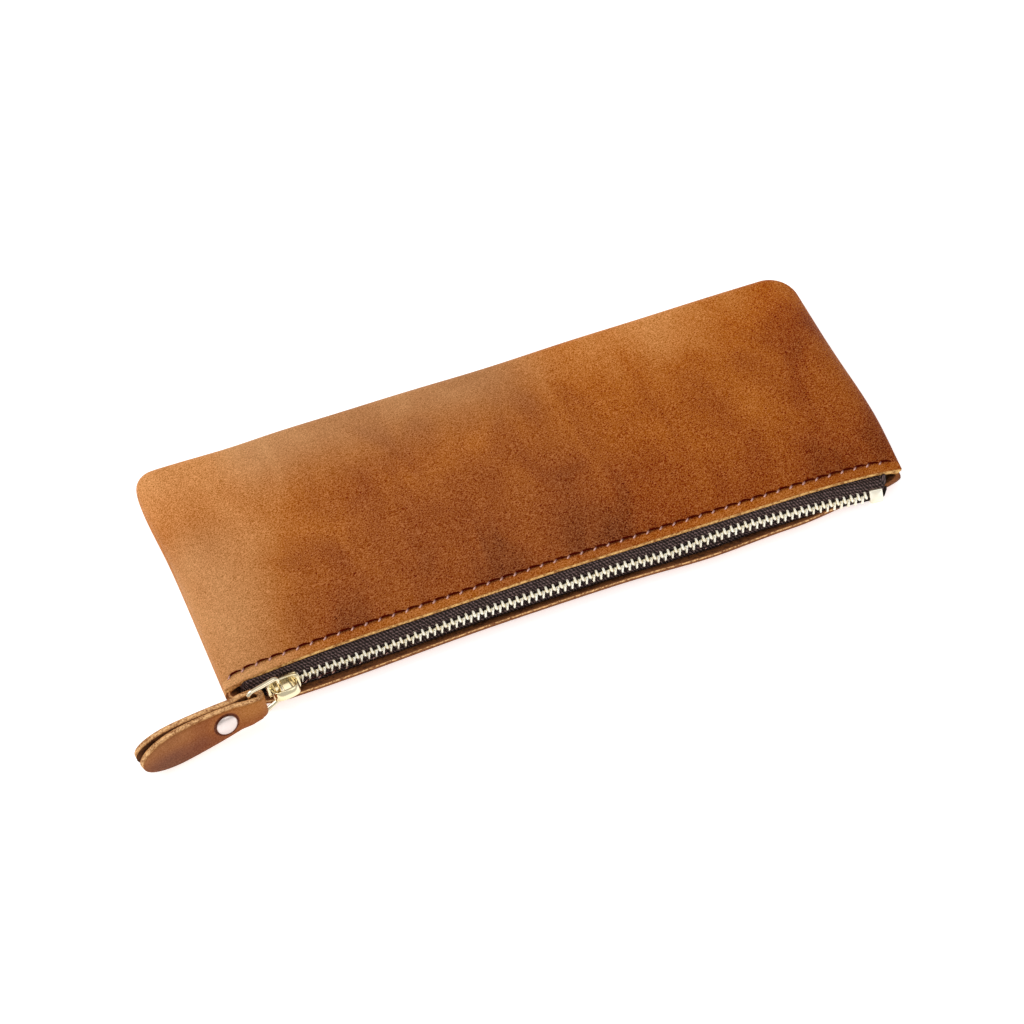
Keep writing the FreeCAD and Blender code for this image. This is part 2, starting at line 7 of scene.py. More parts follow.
import bmesh
import bpy
import numpy as np
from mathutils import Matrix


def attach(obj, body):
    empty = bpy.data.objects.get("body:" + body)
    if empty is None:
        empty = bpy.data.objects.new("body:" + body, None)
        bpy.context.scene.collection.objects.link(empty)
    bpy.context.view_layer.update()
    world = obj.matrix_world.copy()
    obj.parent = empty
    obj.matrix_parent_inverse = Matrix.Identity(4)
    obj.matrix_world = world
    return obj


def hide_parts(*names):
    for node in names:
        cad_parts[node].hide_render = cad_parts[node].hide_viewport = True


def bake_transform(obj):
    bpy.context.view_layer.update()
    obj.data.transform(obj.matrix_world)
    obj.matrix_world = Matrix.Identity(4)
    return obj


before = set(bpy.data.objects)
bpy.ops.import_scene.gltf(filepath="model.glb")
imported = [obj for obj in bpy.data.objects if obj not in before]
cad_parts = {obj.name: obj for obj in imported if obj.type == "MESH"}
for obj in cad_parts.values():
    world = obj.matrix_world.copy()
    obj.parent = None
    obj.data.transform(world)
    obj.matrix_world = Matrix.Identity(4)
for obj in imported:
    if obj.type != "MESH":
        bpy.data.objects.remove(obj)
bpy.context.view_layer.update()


# Leather hide
# One piece of oiled cowhide, folded round the back of the case. Its two short sides are sewn face
# to face and turned out, so each side ends in two rounded lobes that meet in a groove.
scene = bpy.context.scene
mm = 0.001
half_length = 100.0
straight_half = 90.0
end_rounding = 10.0
back_y = 41.0
leather = 1.8
seam_z = 5.0
seam_lobe = 1.9
groove = 0.9
upper_edge = np.array([-36.9, 12.35])
crown = np.array([-5.0, 14.8])
back_top = 10.0
lip_y = -41.0
lip_radius = 14.0
lip_start = -33.58
corner_y = -37.0
base_z = 0.03
skive = 0.55
skive_width = 2.2

# How the leather has settled: depths with the x where they start, and bells of (middle, width, depth)
right_sink = (5.0, 40.0)
left_sink = (4.6, 55.0)
sink_reach = 16.0
edge_hollows = ((-52.0, 20.0, 0.8), (46.0, 24.0, 1.2))
back_round_left = 5.5
back_round_right = 8.5
back_waves = ((-72.0, 12.0, 0.5), (5.0, 26.0, 0.5))
lip_push = 0.1
lip_bulges = ((-76.0, 34.0, 1.6), (40.0, 16.0, 1.0))
lip_draw = 2.4
curl_loss = 0.1
right_swell = ((-18.0, 19.0, 1.5),)
left_swell = ((30.0, 15.0, 1.1),)
corner_lift_right = 1.5
corner_lift_left = 3.1
lift_reach = 9.0
wave_height = 0.22
ripple_height = 0.12


def eased(value, low, high):
    """0 below low, 1 above high, and the smooth cubic 3t^2 - 2t^3 between them."""
    t = np.clip((value - low) / (high - low), 0.0, 1.0)
    return t * t * (3.0 - 2.0 * t)


def bells(x, shapes):
    """A sum of bell curves, depth * exp(-((x - middle) / width)^2) for each (middle, width, depth)."""
    return sum(depth * np.exp(-((x - middle) / width) ** 2) for middle, width, depth in shapes)


def unit(vectors):
    """Each vector divided by its length."""
    return vectors / np.linalg.norm(vectors, axis=-1, keepdims=True)


def circle_through(a, b, c):
    """Centre and radius of the circle through three points, from its two chord equations."""
    a, b, c = (np.asarray(p, float) for p in (a, b, c))
    chords = 2.0 * np.stack([b - a, c - a])
    centre = np.linalg.solve(chords, np.array([b @ b - a @ a, c @ c - a @ a]))
    return centre, np.linalg.norm(a - centre)


middle_z = back_top / 2.0
top_centre, top_radius = circle_through((back_y - middle_z, back_top), crown, upper_edge)


def end_fullness(x, inset):
    """How full the case is at x: 1 along the straight, then a quarter ellipse down to 0."""
    swing = np.clip((np.abs(x) - straight_half) / (end_rounding - inset), 0.0, 1.0)
    return np.sqrt(1.0 - swing ** 2)


def end_sink(x, depth, start):
    """A parabola that is 0 up to start and reaches its depth at the end of the case."""
    return depth * np.clip((x - start) / (half_length - start), 0.0, 1.0) ** 2


def edge_drop(x):
    """How far the upper edge sinks: a parabola at each end, longer on the right, and two hollows."""
    return end_sink(x, *right_sink) + end_sink(-x, *left_sink) + bells(x, edge_hollows)


def back_line(x, inset):
    """The rearmost y at x: straight with shallow waves, and a quarter circle in plan at each corner."""
    round_by = np.where(x < 0.0, back_round_left, back_round_right) - 0.5 * inset
    turn = np.clip((np.abs(x) - (half_length - inset - round_by)) / round_by, 0.0, 1.0)
    return back_y - inset - round_by * (1.0 - np.sqrt(1.0 - turn ** 2)) - bells(x, back_waves)


def lip_front(x):
    """The y of the front lip: pushed forward beside the closed slider, drawn back at the end box."""
    push = bells(x, lip_bulges) + lip_push
    return lip_y - push * eased(-np.abs(x), -99.0, -86.0) + lip_draw * eased(x, 66.0, 92.0)


def side_swell(x, y):
    """How far the short sides swell outwards: the right one in front, the left one at its back corner."""
    right = bells(y, right_swell) * eased(x, 60.0, 100.0)
    return right - bells(y, left_swell) * eased(-x, 60.0, 100.0)


def panel_at(x, side, inset):
    """Fullness, front edge and fold radius at x, above (side 1) or below (side -1) the seam.

    Edge and radius are those of the full middle mixed with those of the flat seam.
    """
    full = end_fullness(x, inset)
    edge = upper_edge[0] if side > 0 else lip_front(x)
    front = corner_y + (edge - corner_y) * full
    fold = middle_z * full + (seam_lobe - inset) * (1.0 - full)
    return full, front, fold


def top_height(x, y, inset):
    """Height of the top skin: the crown's circle, flattened to the seam at the ends, with slow waves."""
    full, front, fold = panel_at(x, 1, inset)
    share = np.clip((y - front) / (back_line(x, inset) - fold - front), 0.0, 1.0)
    across = upper_edge[0] + share * (back_y - middle_z - upper_edge[0]) - top_centre[0]
    arch = top_centre[1] + np.sqrt((top_radius - inset) ** 2 - across ** 2)
    arch = arch - edge_drop(x) * np.exp(-(y - front) / sink_reach)
    arch = arch + skive * (inset > 0.0) * eased(front - y, -skive_width, 0.0)
    waves = wave_height * np.sin(x / 17.0 + 0.6) * np.sin(y / 13.0)
    arch = arch + waves + ripple_height * np.sin(x / 7.3 + y / 9.1)
    return seam_z + (arch - seam_z) * full + (seam_lobe - inset) * (1.0 - full)


def bottom_height(x, y, inset):
    """Height of the bottom skin: flat on the table, curling up in a circle at the front lip.

    The curl is shallower where the upper edge sinks, and the front corners are lifted.
    """
    full, front, fold = panel_at(x, -1, inset)
    share = np.clip((y - front) / (back_line(x, inset) - fold - front), 0.0, 1.0)
    across = np.minimum(lip_y + share * (back_y - middle_z - lip_y) - lip_start, 0.0)
    curl = lip_radius - np.sqrt((lip_radius - inset) ** 2 - across ** 2)
    curl = inset + (curl - inset) * (1.0 - curl_loss * edge_drop(x))
    lift = np.where(x > 0.0, corner_lift_right, corner_lift_left) * eased(np.abs(x), 84.0, 104.0)
    curl = curl + lift * np.exp(-(y - front) / lift_reach)
    return seam_z + (curl + base_z - seam_z) * full - (seam_lobe - inset) * (1.0 - full)


skin_height = {1: top_height, -1: bottom_height}
along = np.linspace(-straight_half, straight_half, 121)
swing = np.radians(np.linspace(0.0, 90.0, 15)[1:])
roll = np.radians(np.linspace(0.0, 90.0, 7)[1:])
front_share = np.hstack([np.linspace(0.0, 0.08, 13)[:-1], np.linspace(0.08, 1.0, 56)])
fold_turn = np.radians(np.linspace(0.0, 90.0, 10)[1:])


def skin(side, inset):
    """Half of the hide's surface, above (side 1) or below (side -1) the seam, as a grid.

    Rows run along x and are a straight stretch, a quarter ellipse and a rolled lobe at each end.
    Columns run from the front edge over the flat of the panel and round a quarter of the back fold,
    where both halves ease to the mean of their heights, so that they meet.
    """
    reach = end_rounding - inset
    out = np.hstack([straight_half + reach * np.sin(swing), np.full(roll.size, straight_half + reach)])
    x = np.hstack([-out[::-1], along, out])[:, None]
    ones = np.ones(along.size + 2 * swing.size)
    lobe = np.hstack([(1.0 - np.sin(roll))[::-1], ones, 1.0 - np.sin(roll)])[:, None]
    tuck = np.hstack([(1.0 - np.cos(roll))[::-1], 0.0 * ones, 1.0 - np.cos(roll)])[:, None]
    full, front, fold = panel_at(x, side, inset)
    fold = fold - inset * full
    centre = back_line(x, inset) - fold
    y_flat = front + front_share * (centre - front)
    z_flat = skin_height[side](x, y_flat, inset)
    z_upper = top_height(x, centre, inset) - fold
    z_lower = bottom_height(x, centre, inset) + fold
    z_middle = z_upper if side > 0 else z_lower
    z_middle = z_middle + ((z_upper + z_lower) / 2.0 - z_middle) * np.sin(fold_turn) ** 2
    y_fold = centre + fold * np.sin(fold_turn)
    z_fold = z_middle + side * fold * np.cos(fold_turn)
    y = np.hstack([y_flat, y_fold])
    z = seam_z + (np.hstack([z_flat, z_fold]) - seam_z) * lobe
    y = y + groove * tuck * np.sign(-y) * eased(np.abs(y), 26.0, 31.0)
    x = (np.abs(x) - groove * tuck * (inset == 0.0)) * np.sign(x)
    x = x + side_swell(x, y)
    return np.stack([np.broadcast_to(x, y.shape), y, z], axis=-1)


def grid_quads(rows, columns, first, wrap):
    """Vertex numbers of the corners of a grid's cells; wrap joins the last column to the first."""
    i, j = np.meshgrid(np.arange(rows - 1), np.arange(columns if wrap else columns - 1), indexing="ij")
    a = first + i * columns + j
    b = first + i * columns + (j + 1) % columns
    return np.stack([a, b, b + columns, a + columns], axis=-1).reshape(-1, 4)


def make_piece(name, grids, finishes, slots=None, wrap=True, uv=None):
    """One mesh from several point grids, with its doubles merged and its faces turned outwards."""
    points, quads, marks, uvs, first = [], [], [], [], 0
    for number, grid in enumerate(grids):
        rows, columns = grid.shape[:2]
        cells = grid_quads(rows, columns, first, wrap)
        points.append(grid.reshape(-1, 3))
        quads.append(cells)
        marks.append(np.full(len(cells), 0 if slots is None else slots[number]))
        if uv is not None:
            uvs.append(uv[number].reshape(-1, 2))
        first += rows * columns
    quads = np.vstack(quads)
    mesh = bpy.data.meshes.new(name)
    mesh.from_pydata(np.vstack(points) * mm, [], quads)
    mesh.polygons.foreach_set("material_index", np.hstack(marks).astype(np.int32))
    if uv is not None:
        layer = mesh.uv_layers.new(name="weave")
        layer.data.foreach_set("uv", np.vstack(uvs)[quads.ravel()].astype(np.float32).ravel())
    for finish in finishes:
        mesh.materials.append(finish)
    work = bmesh.new()
    work.from_mesh(mesh)
    bmesh.ops.remove_doubles(work, verts=work.verts, dist=0.002 * mm)
    bmesh.ops.dissolve_degenerate(work, edges=work.edges, dist=0.001 * mm)
    bmesh.ops.recalc_face_normals(work, faces=work.faces)
    work.to_mesh(mesh)
    work.free()
    mesh.polygons.foreach_set("use_smooth", np.ones(len(mesh.polygons), bool))
    piece = bpy.data.objects.new(name, mesh)
    scene.collection.objects.link(piece)
    return piece


def put(tree, kind, inputs=None, **settings):
    """A new shader node, with its settings, and each input linked to a socket or given a value."""
    node = tree.nodes.new("ShaderNode" + kind)
    for key, value in settings.items():
        setattr(node, key, value)
    for key, value in (inputs or {}).items():
        if isinstance(value, bpy.types.NodeSocket):
            tree.links.new(value, node.inputs[key])
        else:
            node.inputs[key].default_value = value
    return node


def new_finish(name, **values):
    """A material with one Principled shader, whose plain values are set on its own sockets."""
    finish = bpy.data.materials.new(name)
    finish.use_nodes = True
    tree = finish.node_tree
    shader = tree.nodes["Principled BSDF"]
    for key, value in values.items():
        shader.inputs[key.replace("_", " ")].default_value = value
    return finish, tree, shader


def ramp(tree, factor, stops):
    """A colour ramp over a factor, from (place, colour) stops."""
    node = put(tree, "ValToRGB", {"Fac": factor})
    elements = node.color_ramp.elements
    while len(elements) < len(stops):
        elements.new(0.5)
    for element, (place, colour) in zip(elements, stops):
        element.position = place
        element.color = (*colour, 1.0)
    return node.outputs["Color"]


def math_node(tree, operation, *values, clamp=False):
    """The value of one arithmetic node on sockets or numbers."""
    inputs = dict(enumerate(values))
    return put(tree, "Math", inputs, operation=operation, use_clamp=clamp).outputs[0]


def total(tree, first, *others):
    """The sum of several values, added one after another."""
    for value in others:
        first = math_node(tree, "ADD", first, value)
    return first


def vector_node(tree, operation, *values):
    """The vector of one vector arithmetic node on sockets or triples."""
    return put(tree, "VectorMath", dict(enumerate(values)), operation=operation).outputs[0]


def noise(tree, place, scale, detail, **others):
    """The value of a noise texture; others holds its inputs apart from place, scale and detail."""
    inputs = {"Vector": place, "Scale": scale, "Detail": detail, **others}
    return put(tree, "TexNoise", inputs).outputs["Fac"]


def emboss(tree, shader, height, strength, depth):
    """Bends a shader's normal by a height value, as a relief of some depth in millimetres."""
    bump = put(tree, "Bump", {"Strength": strength, "Distance": depth * mm, "Height": height})
    tree.links.new(bump.outputs["Normal"], shader.inputs["Normal"])


def grain_group():
    """Hide grain: fine ripples drawn out along one slant, broken by pores, as a value round 0.5."""
    slant = np.radians(29.0)
    stretch = (1.5, 1.0, 1.0)
    pore_depth = 0.22
    group = bpy.data.node_groups.new("hide grain", "ShaderNodeTree")
    sockets = (("Vector", "INPUT", "Vector"), ("Ripple Scale", "INPUT", "Float"),
               ("Grain", "OUTPUT", "Float"))
    for name, way, kind in sockets:
        group.interface.new_socket(name, in_out=way, socket_type="NodeSocket" + kind)
    start = group.nodes.new("NodeGroupInput")
    end = group.nodes.new("NodeGroupOutput")
    vector, scale = start.outputs["Vector"], start.outputs["Ripple Scale"]
    mapping = {"Vector": vector, "Rotation": (0.0, 0.0, slant), "Scale": stretch}
    slanted = put(group, "Mapping", mapping, vector_type="TEXTURE").outputs["Vector"]
    ripples = noise(group, slanted, scale, 1.0, Distortion=0.3)
    pores = put(group, "TexVoronoi", {"Vector": vector, "Scale": scale}, feature="F1")
    grain = math_node(group, "MULTIPLY_ADD", pores.outputs["Distance"], -pore_depth, ripples)
    group.links.new(math_node(group, "ADD", grain, pore_depth / 2.0), end.inputs["Grain"])
    return group


hide_grain = grain_group()
ripple_scale = 3400.0


def oiled_leather(name, tones, shade, bloom_and_sheen_map, grain_depth, gloss):
    """Pull-up leather: waxy browns that drift over the hide, with fine grain and a sheen, part of it
    painted.

    tones runs from the palest brown to the darkest. shade(tree, place, xyz) gives the slow drift
    between them, from 0 to 1, which holds painted light and shade as well as the leather's own tone.
    dust(tree, xyz) says where a pale veil lies over the colour, a waxy bloom and on the hide a painted
    sheen, and grain_depth says how far the fine grain lightens and darkens it.
    """
    patch_weight, mark_weight = 0.36, 0.40
    # the colour of the pale veil: a waxy bloom, and on the hide a painted sheen
    bloom_and_sheen_colour = (0.0, 0.024, 0.021)
    darkest = (0.03, 0.006, 0.001)
    finish, tree, shader = new_finish(name, Specular_IOR_Level=gloss)
    place = put(tree, "TexCoord").outputs["Object"]
    xyz = put(tree, "SeparateXYZ", {"Vector": place}).outputs
    grain = put(tree, "Group", node_tree=hide_grain)
    tree.links.new(place, grain.inputs["Vector"])
    grain.inputs["Ripple Scale"].default_value = ripple_scale
    grain = grain.outputs["Grain"]
    drawn = put(tree, "Mapping", {"Vector": place, "Scale": (1.0, 0.5, 1.0)}).outputs["Vector"]
    patches = noise(tree, drawn, 26.0, 2.0, Roughness=0.5, Distortion=0.5)
    marks = noise(tree, drawn, 80.0, 1.0, Distortion=0.8)
    tone = math_node(tree, "MULTIPLY_ADD", patches, patch_weight, shade(tree, place, xyz))
    tone = math_node(tree, "MULTIPLY_ADD", marks, mark_weight, tone)
    tone = math_node(tree, "SUBTRACT", tone, (patch_weight + mark_weight) / 2.0, clamp=True)
    colour = ramp(tree, tone, list(zip(np.linspace(0.0, 1.0, len(tones)), tones)))
    # the pale veil: a waxy bloom, and on the hide a painted sheen where the light catches it
    bloom_and_sheen = bloom_and_sheen_map(tree, xyz)
    colour = vector_node(tree, "MULTIPLY_ADD", bloom_and_sheen, bloom_and_sheen_colour, colour)
    contrast = math_node(tree, "MULTIPLY_ADD", tone, -0.5, 1.35)
    contrast = math_node(tree, "MULTIPLY_ADD", bloom_and_sheen, -0.15, contrast)
    speckle = math_node(tree, "MULTIPLY", math_node(tree, "SUBTRACT", grain, 0.5), contrast)
    tint = tuple(grain_depth * share for share in (1.0, 0.5, 0.25))
    colour = vector_node(tree, "MULTIPLY_ADD", speckle, tint, colour)
    tree.links.new(vector_node(tree, "MAXIMUM", colour, darkest), shader.inputs["Base Color"])
    tree.links.new(math_node(tree, "MULTIPLY_ADD", grain, -0.3, 0.68), shader.inputs["Roughness"])
    emboss(tree, shader, grain, 0.5, 0.13)
    return finish


def drift(tree, value, places, tones):
    """A smooth step of a value between two places, in millimetres, from one tone to another."""
    inputs = {"Value": value, 1: places[0] * mm, 2: places[1] * mm, 3: tones[0], 4: tones[1]}
    return put(tree, "MapRange", inputs, interpolation_type="SMOOTHSTEP").outputs[0]


def hide_tone_and_painted_light(tree, place, xyz):
    """Tone of the hide with painted light and shade: darkest in front and paler towards the back fold where
    the light falls, with painted shade at the right end.

    The pale left end is partly the leather's own tone and partly a painted sheen. It is a smooth step in x
    that is shorter in front than at the back. The paler strip in front of the stitch line is a painted
    highlight.
    """
    x, y = xyz["X"], xyz["Y"]
    reach = math_node(tree, "MULTIPLY", drift(tree, y, (-30.0, 0.0), (1.7, 1.0)),
                      drift(tree, y, (5.0, 22.0), (1.0, 0.8)))
    inwards = math_node(tree, "MULTIPLY", math_node(tree, "ADD", x, 97.0 * mm), reach)
    pale = drift(tree, inwards, (0.0, 55.0), (1.0, 0.0))
    # the pale left end: partly the leather's own tone, partly a painted sheen
    left = math_node(tree, "MULTIPLY", pale, drift(tree, y, (-25.0, 36.0), (-0.66, -0.3)))
    right = drift(tree, x, (15.0, 55.0), (0.0, -0.2))
    # painted shade along the right rim and at the right back corner
    rim = drift(tree, x, (62.0, 80.0), (0.0, 0.12))
    corner = math_node(tree, "MULTIPLY", drift(tree, x, (78.0, 90.0), (0.0, 0.19)),
                       drift(tree, y, (-6.0, 18.0), (0.0, 1.0)))
    # darker in front and paler at the back fold: painted light and shade
    front = drift(tree, y, (-40.0, 30.0), (0.84, 0.6))
    back = drift(tree, y, (12.0, 40.0), (0.0, -0.22))
    # a paler strip in front of the stitch line: a painted highlight
    strip = drift(tree, y, (-35.0, -34.2), (-0.26, 0.0))
    return total(tree, left, right, rim, corner, front, back, strip)


def hide_bloom_and_painted_sheen(tree, xyz):
    """A pale veil at the left end and along the back fold, thin elsewhere and gone on the right: a waxy
    bloom together with a painted sheen.
    """
    x, y = xyz["X"], xyz["Y"]
    left = math_node(tree, "MULTIPLY", drift(tree, x, (-98.0, -66.0), (1.2, 0.0)),
                     drift(tree, y, (2.0, 20.0), (1.0, 0.0)))
    fold = math_node(tree, "MULTIPLY", drift(tree, x, (-84.0, -66.0), (0.0, 1.0)),
                     drift(tree, y, (8.0, 38.0), (0.0, 1.9)))
    thin = drift(tree, x, (8.0, 34.0), (0.4, 0.03))
    fade = drift(tree, x, (0.0, 30.0), (1.0, -0.25))
    return math_node(tree, "MULTIPLY_ADD", fold, fade, math_node(tree, "ADD", left, thin))


tan_tones = [(0.58, 0.246, 0.078), (0.49, 0.178, 0.044), (0.385, 0.108, 0.011), (0.275, 0.062, 0.005),
             (0.14, 0.027, 0.003)]
hide_finish = oiled_leather("oiled_hide", tan_tones, hide_tone_and_painted_light, hide_bloom_and_painted_sheen, 0.74, 0.03)


def cut_edge(name, bands, deep, coarse):
    """The fibrous cut edge of leather: bands of colour across its thickness, broken by dark pits.

    bands are (share, colour) stops from the grain side to the flesh side, read from the piece's UV.
    """
    finish, tree, shader = new_finish(name, Roughness=0.8, Specular_IOR_Level=0.15)
    place = put(tree, "TexCoord").outputs["Object"]
    weave = put(tree, "UVMap", uv_map="weave").outputs["UV"]
    across = put(tree, "SeparateXYZ", {"Vector": weave}).outputs["Y"]
    fibres = noise(tree, place, coarse, 3.0, Roughness=0.7)
    spots = noise(tree, place, coarse * 0.4, 2.0)
    shift = math_node(tree, "MULTIPLY_ADD", math_node(tree, "SUBTRACT", spots, 0.5), 0.3, across)
    colour = ramp(tree, shift, bands)
    pits = math_node(tree, "MULTIPLY_ADD", spots, 0.5, fibres)
    pits = math_node(tree, "MULTIPLY_ADD", pits, 4.5, -2.75, clamp=True)
    mixed = put(tree, "Mix", {"Factor": pits, 6: (*deep, 1.0), 7: colour}, data_type="RGBA")
    tree.links.new(mixed.outputs[2], shader.inputs["Base Color"])
    emboss(tree, shader, fibres, 0.7, 0.25)
    return finish


pale_bands = [(0.0, (0.62, 0.27, 0.07)), (0.4, (0.92, 0.58, 0.22)), (1.0, (0.62, 0.30, 0.08))]
# The lip's cut edge: the dark bands at both faces are painted shade, under the tape above and along the
# table below; the bright line and the brown lie between them.
lip_bands_with_painted_shade = [(0.0, (0.12, 0.04, 0.012)), (0.1, (0.25, 0.085, 0.024)), (0.45, (0.28, 0.10, 0.027)),
             (0.55, (1.0, 0.62, 0.28)), (0.7, (0.9, 0.5, 0.2)), (0.8, (0.2, 0.065, 0.018)),
             (1.0, (0.12, 0.04, 0.012))]
flesh_bands = [(0.0, (0.16, 0.055, 0.016)), (1.0, (0.16, 0.055, 0.016))]
upper_cut = cut_edge("cut_edge_pale", pale_bands, (0.30, 0.11, 0.022), 1500.0)
lip_cut = cut_edge("cut_edge_brown", lip_bands_with_painted_shade, (0.17, 0.05, 0.013), 1700.0)
flesh = cut_edge("flesh_side", flesh_bands, (0.06, 0.018, 0.006), 900.0)


def edge_strip(outer, inner):
    """The cut edge between two skins: straight across the leather, with a slight half-sine swelling."""
    bulge = 0.12
    share = np.linspace(0.0, 1.0, 6)[:, None]
    out = outer[:, :1] - outer[:, 2:3]
    out = out / np.maximum(np.linalg.norm(out, axis=-1, keepdims=True), 1e-9)
    return outer[:, :1] * (1.0 - share) + inner[:, :1] * share + out * bulge * np.sin(np.pi * share)


def edge_uv(grid):
    """Tens of millimetres along a band of leather, and the share across it."""
    share = np.linspace(0.0, 1.0, grid.shape[1])
    return np.stack(np.broadcast_arrays(grid[..., 0] / 10.0, share), axis=-1)


hide_grids = [skin(1, 0.0), skin(-1, 0.0), skin(1, leather), skin(-1, leather)]
hide_grids += [edge_strip(hide_grids[0], hide_grids[2]), edge_strip(hide_grids[1], hide_grids[3])]
hide_uv = [np.zeros(grid.shape[:2] + (2,)) for grid in hide_grids[:4]]
hide_uv += [edge_uv(grid) for grid in hide_grids[4:]]
# The lip's bright line stops before the end box: there the bands are drawn to the grain side
hide_uv[5][..., 1] *= 1.0 - 0.7 * eased(hide_grids[5][..., 0], 84.0, 92.0)
hide_finishes = [hide_finish, upper_cut, lip_cut, flesh]
hide = make_piece("leather_hide", hide_grids, hide_finishes, [0, 0, 3, 3, 1, 2], False, hide_uv)


def let_gape(piece, above=None):
    """Bakes a soft piece's place into its mesh and works out the share of it that would lift in the middle.

    That share is a smooth step in from the left end, one in from where the open slider stops on the
    right, and one in front of the back crease, multiplied together; nothing uses it.
    """
    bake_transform(piece)
    points = np.empty(3 * len(piece.data.vertices))
    piece.data.vertices.foreach_get("co", points)
    x, y, z = points.reshape(-1, 3).T / mm
    share = eased(x, -97.0, -30.0) * eased(-x, -79.5, -10.0) * eased(-y, -28.0, -14.0)
    if above is not None:
        share = share * eased(z, above - 0.6, above + 0.6)


let_gape(hide, above=5.2)
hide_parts("upper_panel", "lower_panel")


# Zip tapes
# Two strips of dark woven twill, sewn under the leather edges. The edge that carries the teeth is
# thickened by a cord woven into it.
zip_centre = np.array([-38.103, 6.6195])
zip_angle = np.radians(63.523)
zip_up = np.array([np.cos(zip_angle), np.sin(zip_angle)])
zip_out = np.array([-zip_up[1], zip_up[0]])
tape_thick = 0.6
tape_half = 96.9
tape_rows = np.linspace(-tape_half, tape_half, 190)[:, None]
upper_sewn_y = (-28.5, -35.6)
lower_sewn_y = -34.0
lip_margin = 2.4
bead_middle = 1.15
bead_radius = 0.42
bead_twist = 1.07
bead_half = 93.0
tape_gap = 0.1
upper_free = 4.0
lower_free = 2.4
rest_sag = 0.4
left_sag = 1.2
slider_sag = 0.6
chain_ripple = ((28.0, 9.0, 0.8),)
right_droop = 3.7


def chain_sag(x):
    """How far the zip hangs below its straight line: more on the left, a ripple, a droop on the right."""
    left = left_sag * eased(-x, 22.0, 62.0) + slider_sag * eased(-x, 72.0, 90.0)
    right = bells(x, chain_ripple) + right_droop * np.clip((x - 50.0) / 42.0, 0.0, 1.05) ** 1.4
    return (rest_sag + left + right) * (1.0 - 0.75 * eased(x, 92.6, 97.5))


def in_zip(x, up, out):
    """Points from the zip's own axes: x along it, up across the tapes and out of the case."""
    x, up, out = np.broadcast_arrays(x, up, out)
    sag = chain_sag(x)
    yz = zip_centre + (up - sag)[..., None] * zip_up + out[..., None] * zip_out
    return np.concatenate([x[..., None], yz], axis=-1)


def capped(grid):
    """A grid of closed rings with both ends drawn in to the middle of the end ring."""
    first, last = (np.broadcast_to(grid[i].mean(axis=0), (1,) + grid[i].shape) for i in (0, -1))
    return np.vstack([first, grid, last])


def ribbon(centre, thickness):
    """A closed band round a grid of centre points: one layer raised and one lowered along its normals."""
    normal = unit(np.cross(np.gradient(centre, axis=0), np.gradient(centre, axis=1)))
    upper = centre + normal * thickness / 2.0
    lower = centre - normal * thickness / 2.0
    return capped(np.hstack([upper, lower[:, ::-1]]))


def tape_centre(side):
    """The middle of one tape: under the leather first, then straight down (or up) to the corded edge."""
    share = np.linspace(0.0, 1.0, 9)
    depth = leather + tape_gap + tape_thick / 2.0
    if side > 0:
        y = upper_sewn_y[0] + share * (upper_sewn_y[1] - upper_sewn_y[0])
        sewn_z = top_height(tape_rows, y, depth)
        free = in_zip(tape_rows, np.linspace(upper_free, bead_middle, 7), 0.0)
    else:
        y = lower_sewn_y + share * (lip_front(tape_rows) + lip_margin - lower_sewn_y)
        sewn_z = bottom_height(tape_rows, y, depth)
        reach = lower_free - eased(tape_rows, 60.0, 90.0)
        free = in_zip(tape_rows, -bead_middle - (reach - bead_middle) * np.linspace(1.0, 0.0, 6), 0.0)
    sewn = np.stack(np.broadcast_arrays(tape_rows, y, sewn_z), axis=-1)
    tape = np.hstack([sewn, free])
    drawn_in = 0.85 * eased(np.abs(tape_rows), 94.2, tape_half)
    tape[..., 1] += drawn_in * (corner_y + 3.0 - tape[..., 1])
    tape[..., 2] += drawn_in * (seam_z + side * 0.6 - tape[..., 2])
    return tape


def tape_uv(grid):
    """Millimetres along and across the tape, in tens, so that the weave keeps its size."""
    steps = np.linalg.norm(np.diff(grid, axis=1), axis=-1)
    across = np.hstack([np.zeros((len(grid), 1)), np.cumsum(steps, axis=1)])
    return np.stack([grid[..., 0], across], axis=-1) / 10.0


def slanted_ribs(tree, weave, degrees, inputs):
    """The value of a wave texture whose ribs are turned by some degrees in the weave's plane."""
    turn = (0.0, 0.0, np.radians(degrees))
    place = put(tree, "Mapping", {"Vector": weave, "Rotation": turn}).outputs["Vector"]
    return put(tree, "TexWave", {"Vector": place, **inputs}).outputs["Fac"]


def twill_finish(name, lift):
    """Dark twill: fine diagonal ribs crossed by the weft, a little purple, with paler threads: a painted
    highlight where the ribs and weft rise, mixed with random tone.
    """
    # worn is the pale colour of the painted highlight on the raised threads
    dark, middle, worn = (0.011, 0.006, 0.004), (0.037, 0.019, 0.015), (0.22, 0.14, 0.135)
    finish, tree, shader = new_finish(name, Roughness=0.85, Specular_IOR_Level=0.25)
    weave = put(tree, "UVMap", uv_map="weave").outputs["UV"]
    rib_wave = {"Scale": 3.9, "Distortion": 4.0, "Detail": 2.0, "Detail Scale": 3.0}
    ribs = slanted_ribs(tree, weave, -35.0, rib_wave)
    weft = put(tree, "TexWave", {"Vector": weave, "Scale": 3.4, "Distortion": 2.5}, bands_direction="Y")
    height = math_node(tree, "MULTIPLY_ADD", weft.outputs["Fac"], 0.5, ribs)
    tone = math_node(tree, "MULTIPLY_ADD", noise(tree, weave, 16.0, 3.0), 0.7, height)
    tone = math_node(tree, "MULTIPLY_ADD", tone, 0.75, lift, clamp=True)
    tree.links.new(ramp(tree, tone, [(0.1, dark), (0.5, middle), (1.0, worn)]), shader.inputs["Base Color"])
    emboss(tree, shader, height, 0.8, 0.2)
    return finish


